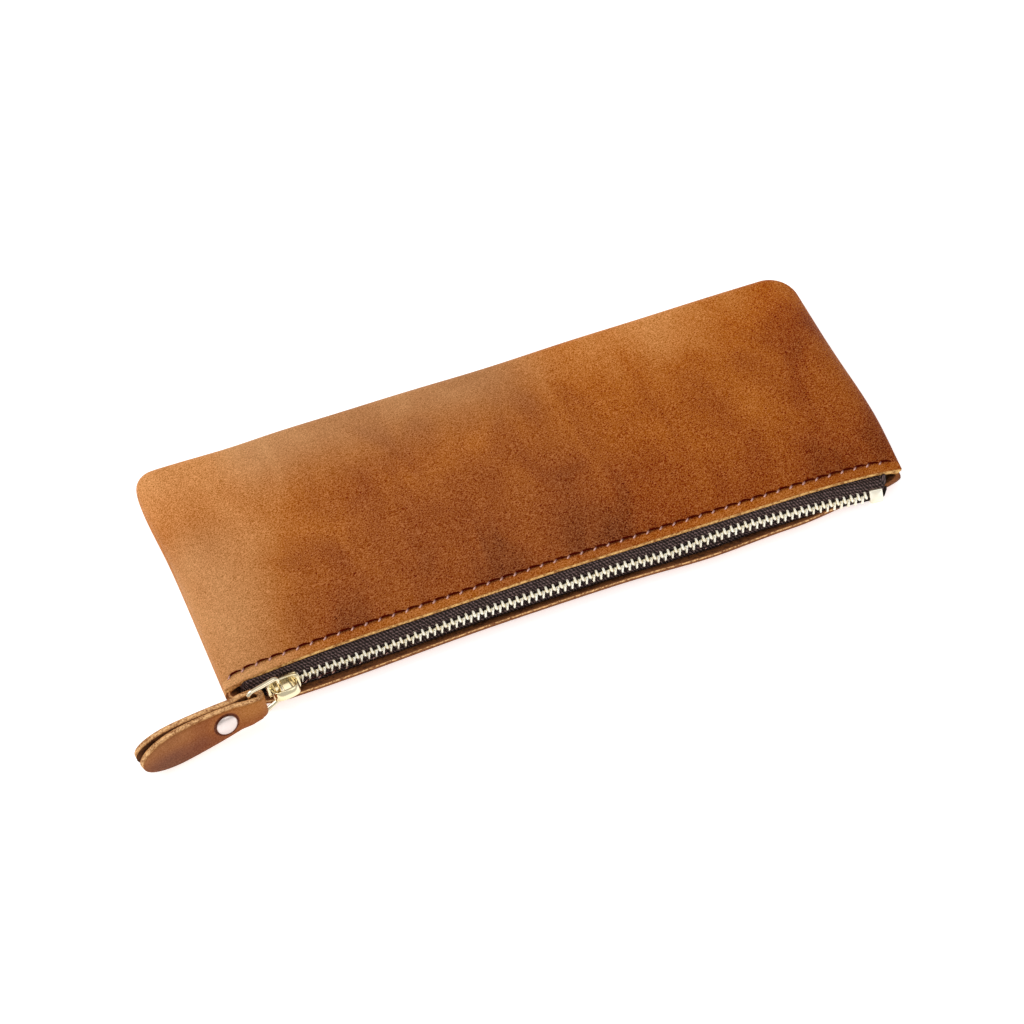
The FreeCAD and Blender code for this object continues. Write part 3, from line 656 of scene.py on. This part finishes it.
twill = twill_finish("dark_twill", -0.38)
cord_twill = twill_finish("dark_cord", -0.6)


def full_turn(count):
    """Angles spaced evenly round a circle."""
    return np.linspace(0.0, 2.0 * np.pi, count, endpoint=False)


def tube(path, radius, sides):
    """A closed round tube along each path of points, with its ends drawn in to a point.

    path has shape (paths, stations, 3); the ring at a station lies square to the path there.
    """
    ahead = unit(np.gradient(path, axis=1))
    guide = np.where(np.abs(ahead[..., 2:3]) > 0.8, np.array([0.0, 1.0, 0.0]), np.array([0.0, 0.0, 1.0]))
    side = unit(np.cross(ahead, guide))
    up = np.cross(side, ahead)
    turn = full_turn(sides)
    radius = np.broadcast_to(radius, path.shape[:2])[..., None, None]
    ring = np.cos(turn)[:, None] * side[..., None, :] + np.sin(turn)[:, None] * up[..., None, :]
    body = path[..., None, :] + radius * ring
    first = np.broadcast_to(path[:, :1, None, :], body[:, :1].shape)
    last = np.broadcast_to(path[:, -1:, None, :], body[:, -1:].shape)
    return np.hstack([first, body, last])


# Side, name and body of each half; the upper one has no body of its own, because it gapes with the mouth
zip_halves = ((1, "upper", None), (-1, "lower", "case"))


def dress(piece, body, node):
    """Gives a piece its body and hides the imported solid it stands for; with no body, its place is baked
    into its mesh.
    """
    if body is None:
        let_gape(piece)
    else:
        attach(piece, body)
    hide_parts(node)


for side, name, body in zip_halves:
    tape_grid = ribbon(tape_centre(side), tape_thick)
    tape = make_piece(name + "_tape_cloth", [tape_grid], [twill], uv=[tape_uv(tape_grid)])
    bead_path = in_zip(np.linspace(-bead_half, bead_half, 400), side * bead_middle, 0.0)[None]
    bead_swell = 0.05 * np.sin(bead_path[..., 0] * 2.0 * np.pi / bead_twist)
    bead_grids = list(tube(bead_path, bead_radius + bead_swell, 8))
    bead_uv = [tape_uv(grid) for grid in bead_grids]
    bead = make_piece(name + "_tape_cord", bead_grids, [cord_twill], uv=bead_uv)
    dress(tape, body, name + "_tape")
    dress(bead, body, name + "_bead")


# Zip teeth and stops
# Brass teeth, each pressed round the cord of its tape, with a head that locks between the heads of
# the other row. A square box clamps both tapes at one end, and a small clamp ends each tape at the other.
tooth_pitch = 2.13
first_tooth = -84.225
tooth_count = 82
tooth_slant = 0.16
tooth_stations = np.array([
    # up, half width, half height
    [-0.66, 0.00, 0.00],
    [-0.66, 0.36, 0.60],
    [-0.48, 0.52, 0.86],
    [0.05, 0.56, 0.98],
    [0.50, 0.50, 0.98],
    [0.80, 0.45, 0.95],
    [1.30, 0.46, 0.98],
    [1.68, 0.45, 0.85],
    [1.86, 0.33, 0.55],
    [1.86, 0.00, 0.00],
])
clamp_x = -86.85
clamp_up = 1.3
end_box_x = 91.2


def brushed_metal(name, bright, dull, rough):
    """Polished plated metal with slow colour drift and fine scratches in its roughness."""
    finish, tree, shader = new_finish(name, Metallic=1.0)
    place = put(tree, "TexCoord").outputs["Object"]
    colour = ramp(tree, noise(tree, place, 260.0, 2.0), [(0.3, dull), (0.7, bright)])
    tree.links.new(colour, shader.inputs["Base Color"])
    worn = math_node(tree, "MULTIPLY_ADD", noise(tree, place, 1500.0, 2.0), 0.12, rough)
    tree.links.new(worn, shader.inputs["Roughness"])
    return finish


brass_teeth = brushed_metal("pale_brass_teeth", (1.0, 0.96, 0.84), (0.93, 0.85, 0.66), 0.28)


def tooth_rows(side):
    """Every tooth of one row: a rounded-square ring carried up the tooth and swelling at head and legs."""
    turn = full_turn(8) + np.pi / 8.0
    c, s = np.cos(turn), np.sin(turn)
    square = np.stack([c, s]) / np.maximum(np.abs(c), np.abs(s)) ** 0.75
    up, wide, tall = tooth_stations.T[..., None]
    wide = wide * (1.0 + (0.12 if side < 0 else -0.15) * eased(up, 0.8, 1.8))
    place = first_tooth + tooth_pitch * (np.arange(tooth_count - (side < 0)) + (0.0 if side > 0 else 0.5))
    x = place[:, None, None] + wide * square[0] - tooth_slant * up
    return in_zip(x, side * up, tall * square[1])


def slab(outline, low, high, rounding):
    """A flat slab with rounded rims: an outline drawn in along quarter circles at its two faces."""
    ahead = np.roll(outline, -1, axis=0) - np.roll(outline, 1, axis=0)
    normal = unit(np.stack([ahead[:, 1], -ahead[:, 0]], axis=-1))
    turn = np.radians(np.linspace(0.0, 90.0, 5))
    inset = np.hstack([rounding * (1.0 - np.sin(turn)), rounding * (1.0 - np.cos(turn))])
    height = np.hstack([low + rounding * (1.0 - np.cos(turn)), high - rounding * (1.0 - np.sin(turn))])
    rings = outline - inset[:, None, None] * normal
    middle = np.broadcast_to(outline.mean(axis=0), (1,) + outline.shape)
    rings = np.vstack([middle, rings, middle])
    height = np.hstack([[low], height, [high]])
    return np.concatenate([rings, np.broadcast_to(height[:, None, None], rings.shape[:2] + (1,))], axis=-1)


def soft_box(half_x, half_y, power, x=0.0, y=0.0, points=32):
    """A rounded rectangle, as the curve |x|^p + |y|^p = 1 stretched to its two half sizes."""
    turn = full_turn(points)
    c, s = np.cos(turn), np.sin(turn)
    return np.stack([x + half_x * np.sign(c) * np.abs(c) ** (2.0 / power),
                     y + half_y * np.sign(s) * np.abs(s) ** (2.0 / power)], axis=-1)


for side, name, body in zip_halves:
    teeth = make_piece(name + "_tooth_row", list(tooth_rows(side)), [brass_teeth])
    clamp_block = slab(soft_box(1.2, 0.55, 6.0, clamp_x, side * clamp_up), -1.1, 1.1, 0.1)
    clamp_grid = in_zip(*np.moveaxis(clamp_block, -1, 0))
    clamp = make_piece(name + "_end_clamp", [clamp_grid], [brass_teeth])
    dress(teeth, body, name + "_teeth")
    dress(clamp, body, name + "_top_stop")

end_box = slab(soft_box(1.95, 2.1, 14.0, end_box_x, 0.0, 48), -1.25, 1.25, 0.25)
stop = make_piece("zip_end_box", [in_zip(*np.moveaxis(end_box, -1, 0))], [brass_teeth])
dress(stop, "case", "bottom_stop")


# Slider
# A die-cast slider, plated pale gold: two plates with turned-in rims over and under the teeth, and an
# arched cover that hides the lock spring and holds the ring. The wedge between the plates is out of sight.
slider_x = -84.7
slider_half = 4.8
slider_turn = np.radians(6.0)
rim_low, rim_high = 0.55, 1.6
lug_low, lug_high = 2.1, 5.7
lug_x = 2.85
gold = brushed_metal("pale_gold_plating", (0.90, 0.80, 0.56), (0.84, 0.70, 0.42), 0.1)


def on_slider(grid):
    """Points drawn round the slider's middle, turned a little by the pull and moved to its rest place."""
    c, s = np.cos(slider_turn), np.sin(slider_turn)
    x = slider_x + c * grid[..., :1] - s * grid[..., 1:2]
    up = s * grid[..., :1] + c * grid[..., 1:2] - chain_sag(slider_x)
    return np.concatenate([x, zip_centre + up * zip_up + grid[..., 2:3] * zip_out], axis=-1)


def plate_outline(front_half, rear_half):
    """A slider plate in plan: a rounded rectangle that narrows from the parted teeth to the joined ones."""
    plan = soft_box(slider_half, 1.0, 4.5, points=56)
    share = 0.5 - plan[:, 0] / (2.0 * slider_half)
    plan[:, 1] = plan[:, 1] * (rear_half + (front_half - rear_half) * eased(share, 0.0, 1.0))
    return plan


def rail(side):
    """A rim turned in at one long side of a plate, as a slim rounded slab, shorter on the lip's side."""
    if side > 0:
        plan = soft_box(slider_half - 0.5, 0.34, 5.0)
        plan[:, 1] = plan[:, 1] + 2.42 + 0.25 * eased(-plan[:, 0], -slider_half, slider_half)
    else:
        plan = soft_box(1.25, 0.2, 5.0, -3.0, -2.9)
    return slab(plan, rim_low, rim_high, 0.12)


outer_plate = slab(plate_outline(3.1, 2.75), 1.3, 2.3, 0.42)
inner_plate = slab(plate_outline(2.45, 2.3), -2.0, -1.3, 0.3)
lugs = [slab(soft_box(0.35, 1.2, 6.0, x), lug_low, lug_high, 0.1) for x in (-lug_x, lug_x)]
slider_grids = [outer_plate, inner_plate, rail(1), rail(-1), *lugs]
slider_body = make_piece("slider_plates", [on_slider(grid) for grid in slider_grids], [gold])
dress(slider_body, "slider", "slider_body")


def arched_cover():
    """A band bent into an arch over the slider: a rounded-square section along half a superellipse."""
    half_span, foot, rise = 3.62, 2.2, 4.2
    half_band, half_thick, crowning = 1.4, 0.36, 0.28
    turn = np.linspace(0.0, np.pi, 33)
    c, s = np.cos(turn), np.sin(turn)
    path = np.stack([-half_span * np.sign(c) * np.abs(c) ** 0.62, foot + rise * s ** 0.5], axis=-1)
    ahead = unit(np.gradient(path, axis=0))
    normal = np.stack([-ahead[:, 1], ahead[:, 0]], axis=-1)
    ring = soft_box(half_band, half_thick, 5.0, points=24)
    narrow = 0.82 + 0.18 * s ** 0.7
    x = path[:, None, 0] + normal[:, None, 0] * ring[:, 1]
    out = path[:, None, 1] + normal[:, None, 1] * ring[:, 1]
    wide = narrow[:, None] * ring[:, 0]
    out = out + crowning * s[:, None] * (1.0 - (wide / half_band) ** 2)
    return capped(np.stack([x, wide, out], axis=-1))


cover = make_piece("slider_cover", [on_slider(arched_cover())], [gold])
dress(cover, "slider", "slider_cap")

leaf = slab(soft_box(3.1, 1.15, 6.0), 5.85, 6.05, 0.05)
pin = slab(soft_box(0.24, 0.24, 2.0, 2.0), 1.35, 5.9, 0.05)
spring_steel = brushed_metal("spring_steel", (0.62, 0.62, 0.62), (0.5, 0.5, 0.5), 0.25)
spring = make_piece("slider_spring", [on_slider(leaf), on_slider(pin)], [spring_steel])
dress(spring, "slider", "lock_spring")


# Wire ring
# A loop of round wire, bent shut, that hangs from the slider's cover and widens towards the tab.
wire_radius = 0.65
ring_length = 9.2
ring_near_half = 3.5
ring_far_half = 4.9
ring_corner = 1.4
ring_shift = np.array([0.0, 0.2, 0.0])
ring_turns = (("x", 11.0), ("y", 13.0), ("z", 13.0))
crossbar = np.array([-86.05, -42.0417, 8.5812])


def turned(axis, degrees):
    """The rotation matrix about one axis, by the right-hand rule."""
    c, s = np.cos(np.radians(degrees)), np.sin(np.radians(degrees))
    i, j = {"x": (1, 2), "y": (2, 0), "z": (0, 1)}[axis]
    matrix = np.eye(3)
    matrix[i, i], matrix[i, j], matrix[j, i], matrix[j, j] = c, -s, s, c
    return matrix


ring_axes = turned("x", np.degrees(zip_angle))
for axis, degrees in ring_turns:
    ring_axes = ring_axes @ turned(axis, degrees)


def rounded_loop(corners, radius, steps):
    """A closed path through corner points, with the same arc at each corner and even straight runs."""
    runs = []
    for i, corner in enumerate(corners):
        before, after = unit(corners[i - 1] - corner), unit(corners[(i + 1) % len(corners)] - corner)
        half = np.arccos(before @ after) / 2.0
        centre = corner + unit(before + after) * radius / np.sin(half)
        a, b = (corner + way * radius / np.tan(half) - centre for way in (before, after))
        opening = np.arccos(np.clip(a @ b / radius ** 2, -1.0, 1.0))
        share = np.linspace(0.0, 1.0, steps)[:, None]
        arc = np.sin((1.0 - share) * opening) * a + np.sin(share * opening) * b
        runs.append(centre + arc / np.sin(opening))
    joined = []
    for i, arc in enumerate(runs):
        nearest = runs[(i + 1) % len(runs)][0]
        joined += [arc, arc[-1] + np.linspace(0.0, 1.0, 8)[1:-1, None] * (nearest - arc[-1])]
    return np.vstack(joined)


def round_wire(path, radius, sides):
    """A closed wire: circles square to a closed flat path, joined end to end."""
    ahead = unit(np.roll(path, -1, axis=0) - np.roll(path, 1, axis=0))
    flat = np.array([0.0, 0.0, 1.0])
    side = np.cross(ahead, flat)
    turn = full_turn(sides)
    circle = np.cos(turn)[:, None] * side[:, None] + np.sin(turn)[:, None] * flat
    wire = path[:, None] + radius * circle
    return np.vstack([wire, wire[:1]])


ring_corners = np.array([[0.0, -ring_near_half, 0.0], [0.0, ring_near_half, 0.0],
                         [-ring_length, ring_far_half, 0.0], [-ring_length, -ring_far_half, 0.0]])
ring_grid = round_wire(rounded_loop(ring_corners, ring_corner, 9), wire_radius, 14)
ring_grid = (ring_grid - ring_shift) @ ring_axes.T + crossbar
wire_gold = brushed_metal("gold_wire", (0.88, 0.80, 0.62), (0.80, 0.68, 0.46), 0.08)
ring = make_piece("wire_ring", [ring_grid], [wire_gold])
dress(ring, "ring", "pull_ring")


# Pull tab
# A strip of the same leather, cut to a paddle at both ends, folded through the ring and held by a
# rivet, so that its two layers part a little towards the tip.
tab_leather = 1.9
fold_reach = 3.8
tab_length = 37.7
tab_tip = fold_reach - tab_length
tip_round = 12.5
rivet_x = fold_reach - 12.5
rivet_clamp = 3.2
loop_gap = 0.8
pinch_gap = 0.1
tip_splay = 1.1
fold_half = 3.05
paddle_rise = 2.35
paddle_run = 25.0
tab_turns = (("y", -6.0), ("z", -8.6))
tab_axes = ring_axes
for axis, degrees in tab_turns:
    tab_axes = tab_axes @ turned(axis, degrees)
far_wire = crossbar + ring_axes @ np.array([-ring_length, 0.0, 0.0])


def layer_gap(x):
    """Half the gap between the layers: round the wire, pinched flat at the rivet, opening at the tip."""
    loop = (loop_gap - pinch_gap) * eased(x, rivet_x + rivet_clamp, -1.4)
    past_rivet = (rivet_x - rivet_clamp - x) / (rivet_x - rivet_clamp - tab_tip)
    return pinch_gap + loop + tip_splay * np.clip(past_rivet, 0.0, 1.0) ** 2.2


def half_width(x):
    """The strip's half width: narrow at the fold, a sine rise to the paddle, an ellipse round the tip."""
    swing = np.pi / 2.0 * np.clip((fold_reach - x) / paddle_run, 0.0, 1.0)
    tip = np.clip((tab_tip + tip_round - x) / tip_round, 0.0, 1.0)
    return (fold_half + paddle_rise * np.sin(swing) ** 1.15) * np.sqrt(1.0 - tip ** 2)


def strip():
    """The folded strip: a flat closed section carried from one tip, round the wire, to the other tip."""
    tip_turn = np.radians(np.linspace(0.0, 90.0, 17))
    tip_x = tab_tip + tip_round * (1.0 - np.sin(tip_turn[::-1]))
    fold_middle = fold_reach - loop_gap - tab_leather
    x = np.hstack([tip_x, np.linspace(tab_tip + tip_round, fold_middle, 46)[1:]])
    middle = layer_gap(x) + tab_leather / 2.0
    radius = loop_gap + tab_leather / 2.0
    bend = np.radians(np.linspace(90.0, -90.0, 19))[1:-1]
    path_x = np.hstack([x, fold_middle + radius * np.cos(bend), x[::-1]])
    path_z = np.hstack([middle, radius * np.sin(bend), -middle[::-1]])
    wide = np.hstack([half_width(x), np.full(bend.size, half_width(fold_reach)), half_width(x)[::-1]])
    ahead = unit(np.stack([np.gradient(path_x), np.gradient(path_z)], axis=-1))
    outward = np.stack([-ahead[:, 1], ahead[:, 0]], axis=-1)
    face = np.linspace(-1.0, 1.0, 9)
    section_y = np.hstack([face, [1.0, 1.0], face[::-1], [-1.0, -1.0]])
    section_out = np.hstack([np.full(9, 0.5), [0.22, -0.22], np.full(9, -0.5), [-0.22, 0.22]]) * tab_leather
    swell = np.hstack([np.zeros(9), [0.1, 0.1], np.zeros(9), [-0.1, -0.1]])
    y = wide[:, None] * section_y + swell * np.minimum(wide, 1.0)[:, None]
    px = path_x[:, None] + outward[:, None, 0] * section_out
    pz = path_z[:, None] + outward[:, None, 1] * section_out
    return np.stack([px, y, pz], axis=-1)


def tab_tone_and_painted_light(tree, place, xyz):
    """Orange at the fold, darker and redder towards the tip, paler higher up as painted light, and a ring
    of painted shade round the rivet.
    """
    fade = drift(tree, xyz["X"], (-118.0, -94.0), (0.62, 0.40))
    # paler higher up: painted light
    high = drift(tree, xyz["Z"], (4.0, 9.0), (0.10, -0.16))
    # a ring of painted shade round the rivet's rim
    middle = tuple(float(v) * mm for v in far_wire + tab_axes @ np.array([rivet_x, 0.0, 2.0]))
    away = put(tree, "VectorMath", {0: place, 1: middle}, operation="DISTANCE").outputs["Value"]
    return total(tree, fade, high, drift(tree, away, (3.35, 3.9), (1.0, 0.0)))


def tab_dust(tree, xyz):
    """A violet bloom towards the tip of the tab."""
    return drift(tree, xyz["X"], (-122.0, -104.0), (0.8, 0.0))


tab_tones = [(0.55, 0.25, 0.070), (0.44, 0.165, 0.040), (0.32, 0.096, 0.024), (0.225, 0.060, 0.022),
             (0.12, 0.030, 0.010)]
tab_bands = [(0.0, (0.50, 0.22, 0.07)), (0.5, (0.80, 0.48, 0.22)), (1.0, (0.50, 0.22, 0.07))]
tab_finish = oiled_leather("oiled_tab", tab_tones, tab_tone_and_painted_light, tab_dust, 0.26, 0.08)
tab_cut = cut_edge("cut_edge_tab", tab_bands, (0.24, 0.085, 0.024), 2000.0)
tab_grid = strip() @ tab_axes.T + far_wire
tab_grids = [tab_grid[:, 0:9], tab_grid[:, 8:12], tab_grid[:, 11:20], tab_grid[:, np.r_[19:22, 0]]]
tab_uv = [edge_uv(grid) for grid in tab_grids]
tab = make_piece("pull_strip", tab_grids, [tab_finish, tab_cut, flesh], [0, 1, 2, 1], False, tab_uv)
dress(tab, "tab", "pull_tab")


# Rivet
# A double-cap rivet in satin nickel: a low dome on each face of the tab, set through both layers.
rivet_seat = pinch_gap + tab_leather + 0.03
rivet_silver = brushed_metal("satin_nickel", (0.80, 0.70, 0.66), (0.72, 0.62, 0.58), 0.3)


def dome(side):
    """A rivet cap turned on a lathe: a low dome of revolution with a rolled rim, square to the tab."""
    turn = full_turn(40)
    radius = np.array([0.0, 0.6, 1.3, 2.0, 2.5, 2.82, 3.0, 3.05, 2.98, 2.8, 0.0])
    height = np.array([0.98, 0.97, 0.93, 0.84, 0.68, 0.52, 0.32, 0.15, 0.02, 0.0, 0.0])
    x = rivet_x + radius[:, None] * np.cos(turn)
    y = radius[:, None] * np.sin(turn)
    z = np.broadcast_to(height[:, None], x.shape) + rivet_seat
    return np.stack([x, y, side * z], axis=-1) @ tab_axes.T + far_wire


for side, node in ((1, "rivet_cap"), (-1, "rivet_base")):
    rivet = make_piece(node + "_dome", [dome(side)], [rivet_silver])
    dress(rivet, "tab", node)


# Stitching
# Lockstitch in waxed maroon thread along both front edges and down the turned-in side seams, each
# stitch a little slanted and pulled down into its needle holes.
stitch_pitch = 3.93
stitch_length = 4.03
stitch_from_edge = 2.65
side_stitch_x = 95.2


def thread_finish():
    """Twisted waxed thread: dark maroon, with a pale glint where it turns down into a needle hole."""
    maroon, glint = (0.070, 0.003, 0.0006), (0.92, 0.54, 0.46)
    finish, tree, shader = new_finish("waxed_thread", Roughness=0.75, Specular_IOR_Level=0.01)
    weave = put(tree, "UVMap", uv_map="weave").outputs["UV"]
    twist = slanted_ribs(tree, weave, 30.0, {"Scale": 5.0, "Distortion": 0.4})
    length = put(tree, "SeparateXYZ", {"Vector": weave}).outputs["X"]
    tone = math_node(tree, "MULTIPLY_ADD", twist, 0.12, length)
    stops = [(0.0, glint), (0.16, glint), (0.26, maroon), (1.0, maroon)]
    tree.links.new(ramp(tree, tone, stops), shader.inputs["Base Color"])
    emboss(tree, shader, twist, 0.6, 0.1)
    return finish


waxed_thread = thread_finish()


def stitch_row(name, middles, line, radius, way):
    """A row of stitches: short tubes that hook out of one hole, lie flat and sink into the next.

    line(s, w) gives the points of the stitch line, s millimetres along it and w across it. Across,
    a stitch climbs in a smooth step and falls back a little; way is 1 up and -1 down, out of the leather.
    """
    share = np.linspace(0.0, 1.0, 11)
    place = middles[:, None] + (share - 0.5) * stitch_length
    across = 0.7 * eased(share, 0.0, 0.35) - 0.4 - 0.15 * eased(share, 0.55, 1.0)
    path = line(place, across)
    lift = radius * (1.1 * eased(share, 0.0, 0.2) - 0.7 - 0.6 * eased(share, 0.8, 1.0))
    path[..., 2] += way * lift
    grids = list(tube(path, radius * (0.6 + 0.4 * np.sin(np.pi * share ** 0.8)), 6))
    along_share = np.hstack([[0.0], share, [1.0]])
    uv = np.stack(np.broadcast_arrays(along_share[:, None], np.linspace(0.0, 1.0, 6)), axis=-1)
    return make_piece(name, grids, [waxed_thread], uv=[uv] * len(grids))


def front_line(side, inset, drop):
    """The stitch line along one front edge, parallel to it, on the outer or inner face."""
    def line(x, slant):
        y = panel_at(x, side, inset)[1] + stitch_from_edge + slant
        return np.stack([x, y, skin_height[side](x, y, inset) + drop], axis=-1)
    return line


def side_line(z):
    """The stitch lines on the two turned-in seam edges, along y at one height."""
    def line(y, slant):
        x = np.where(np.arange(len(y))[:, None] % 2, 1.0, -1.0) * (side_stitch_x + slant)
        return np.stack([x, y, np.full_like(y, z)], axis=-1)
    return line


long_row = stitch_pitch * (np.arange(50) - 24.5)
inner_row = stitch_pitch * (np.arange(44) - 21.5)
lip_row = inner_row[:40]
side_row = np.repeat(-25.0 + stitch_pitch * np.arange(11), 2)
inside = leather + tape_thick + 0.2
rows = [
    # layer, seam, places along it, line, thread radius, way out of the leather, body
    ("needle", "upper", long_row, front_line(1, 0.0, 0.15), 0.31, 1.0, None),
    ("bobbin", "upper", inner_row, front_line(1, inside, -0.15), 0.2, -1.0, None),
    ("needle", "lower", inner_row, front_line(-1, 0.0, -0.05), 0.25, -1.0, "case"),
    ("bobbin", "lower", lip_row, front_line(-1, inside, 0.15), 0.2, 1.0, "case"),
    ("needle", "side", side_row, side_line(7.2), 0.25, 1.0, "case"),
    ("bobbin", "side", side_row, side_line(2.9), 0.2, -1.0, "case"),
]
for layer, seam, middles, line, radius, way, body in rows:
    stitches = stitch_row(layer + "_stitches_" + seam, middles, line, radius, way)
    dress(stitches, body, seam + "_" + layer + "_thread")


# Stage
# A plain white table under soft light from all round, with one broad lamp above and behind on the left
# and a weaker one in front on the right.
white = (1.0, 1.0, 1.0, 1.0)
table_half = 12.0
table_drop = 0.05 * mm
table_mesh = bpy.data.meshes.new("table")
corners = np.array([[-1, -1, 0], [1, -1, 0], [1, 1, 0], [-1, 1, 0]]) * table_half
table_mesh.from_pydata(corners - np.array([0.0, 0.0, table_drop]), [], [(0, 1, 2, 3)])
table = bpy.data.objects.new("table", table_mesh)
scene.collection.objects.link(table)
table_finish = new_finish("white_table", Roughness=0.9, Base_Color=(0.8, 0.8, 0.8, 1.0),
                          Emission_Color=white, Emission_Strength=0.58)[0]
table_mesh.materials.append(table_finish)


def aimed(back):
    """Axes of a lamp or camera that looks along -back: level to the right, up, and back, as columns."""
    right = unit(np.cross([0.0, 0.0, 1.0], back))
    return np.stack([right, np.cross(back, right), back], axis=1)


def hold(name, data, axes, place):
    """A lamp or camera set at a place in metres with its axes."""
    matrix = np.eye(4)
    matrix[:3, :3] = axes
    matrix[:3, 3] = place
    holder = bpy.data.objects.new(name, data)
    holder.matrix_world = matrix.T.tolist()
    scene.collection.objects.link(holder)
    return holder


def lamp(name, place, size, power):
    """A square soft lamp that faces the case."""
    light = bpy.data.lights.new(name, "AREA")
    light.size = size
    light.energy = power
    hold(name, light, aimed(unit(np.array(place))), place)


lamp("broad_lamp", (-0.42, 0.34, 0.55), 0.5, 3.4)
lamp("front_lamp", (0.5, -0.8, 1.1), 1.0, 3.0)
world = bpy.data.worlds.new("white_room")
world.use_nodes = True
background = world.node_tree.nodes["Background"]
background.inputs["Color"].default_value = white
background.inputs["Strength"].default_value = 0.6
scene.world = world
scene.view_settings.view_transform = "Standard"

view_azimuth, view_elevation = np.radians(-21.89), np.radians(53.28)
view_distance = 1000.0
view_right, view_up = -2.15, -5.46
camera_axes = aimed(np.array([
    np.sin(view_azimuth) * np.cos(view_elevation),
    -np.cos(view_azimuth) * np.cos(view_elevation),
    np.sin(view_elevation),
]))
camera_place = camera_axes @ np.array([view_right, view_up, view_distance]) * mm
camera = hold("photo_camera", bpy.data.cameras.new("photo_camera"), camera_axes, camera_place)
camera.data.lens = 125.0
camera.data.sensor_width = 36.0
camera.data.clip_start = 0.01
scene.camera = camera
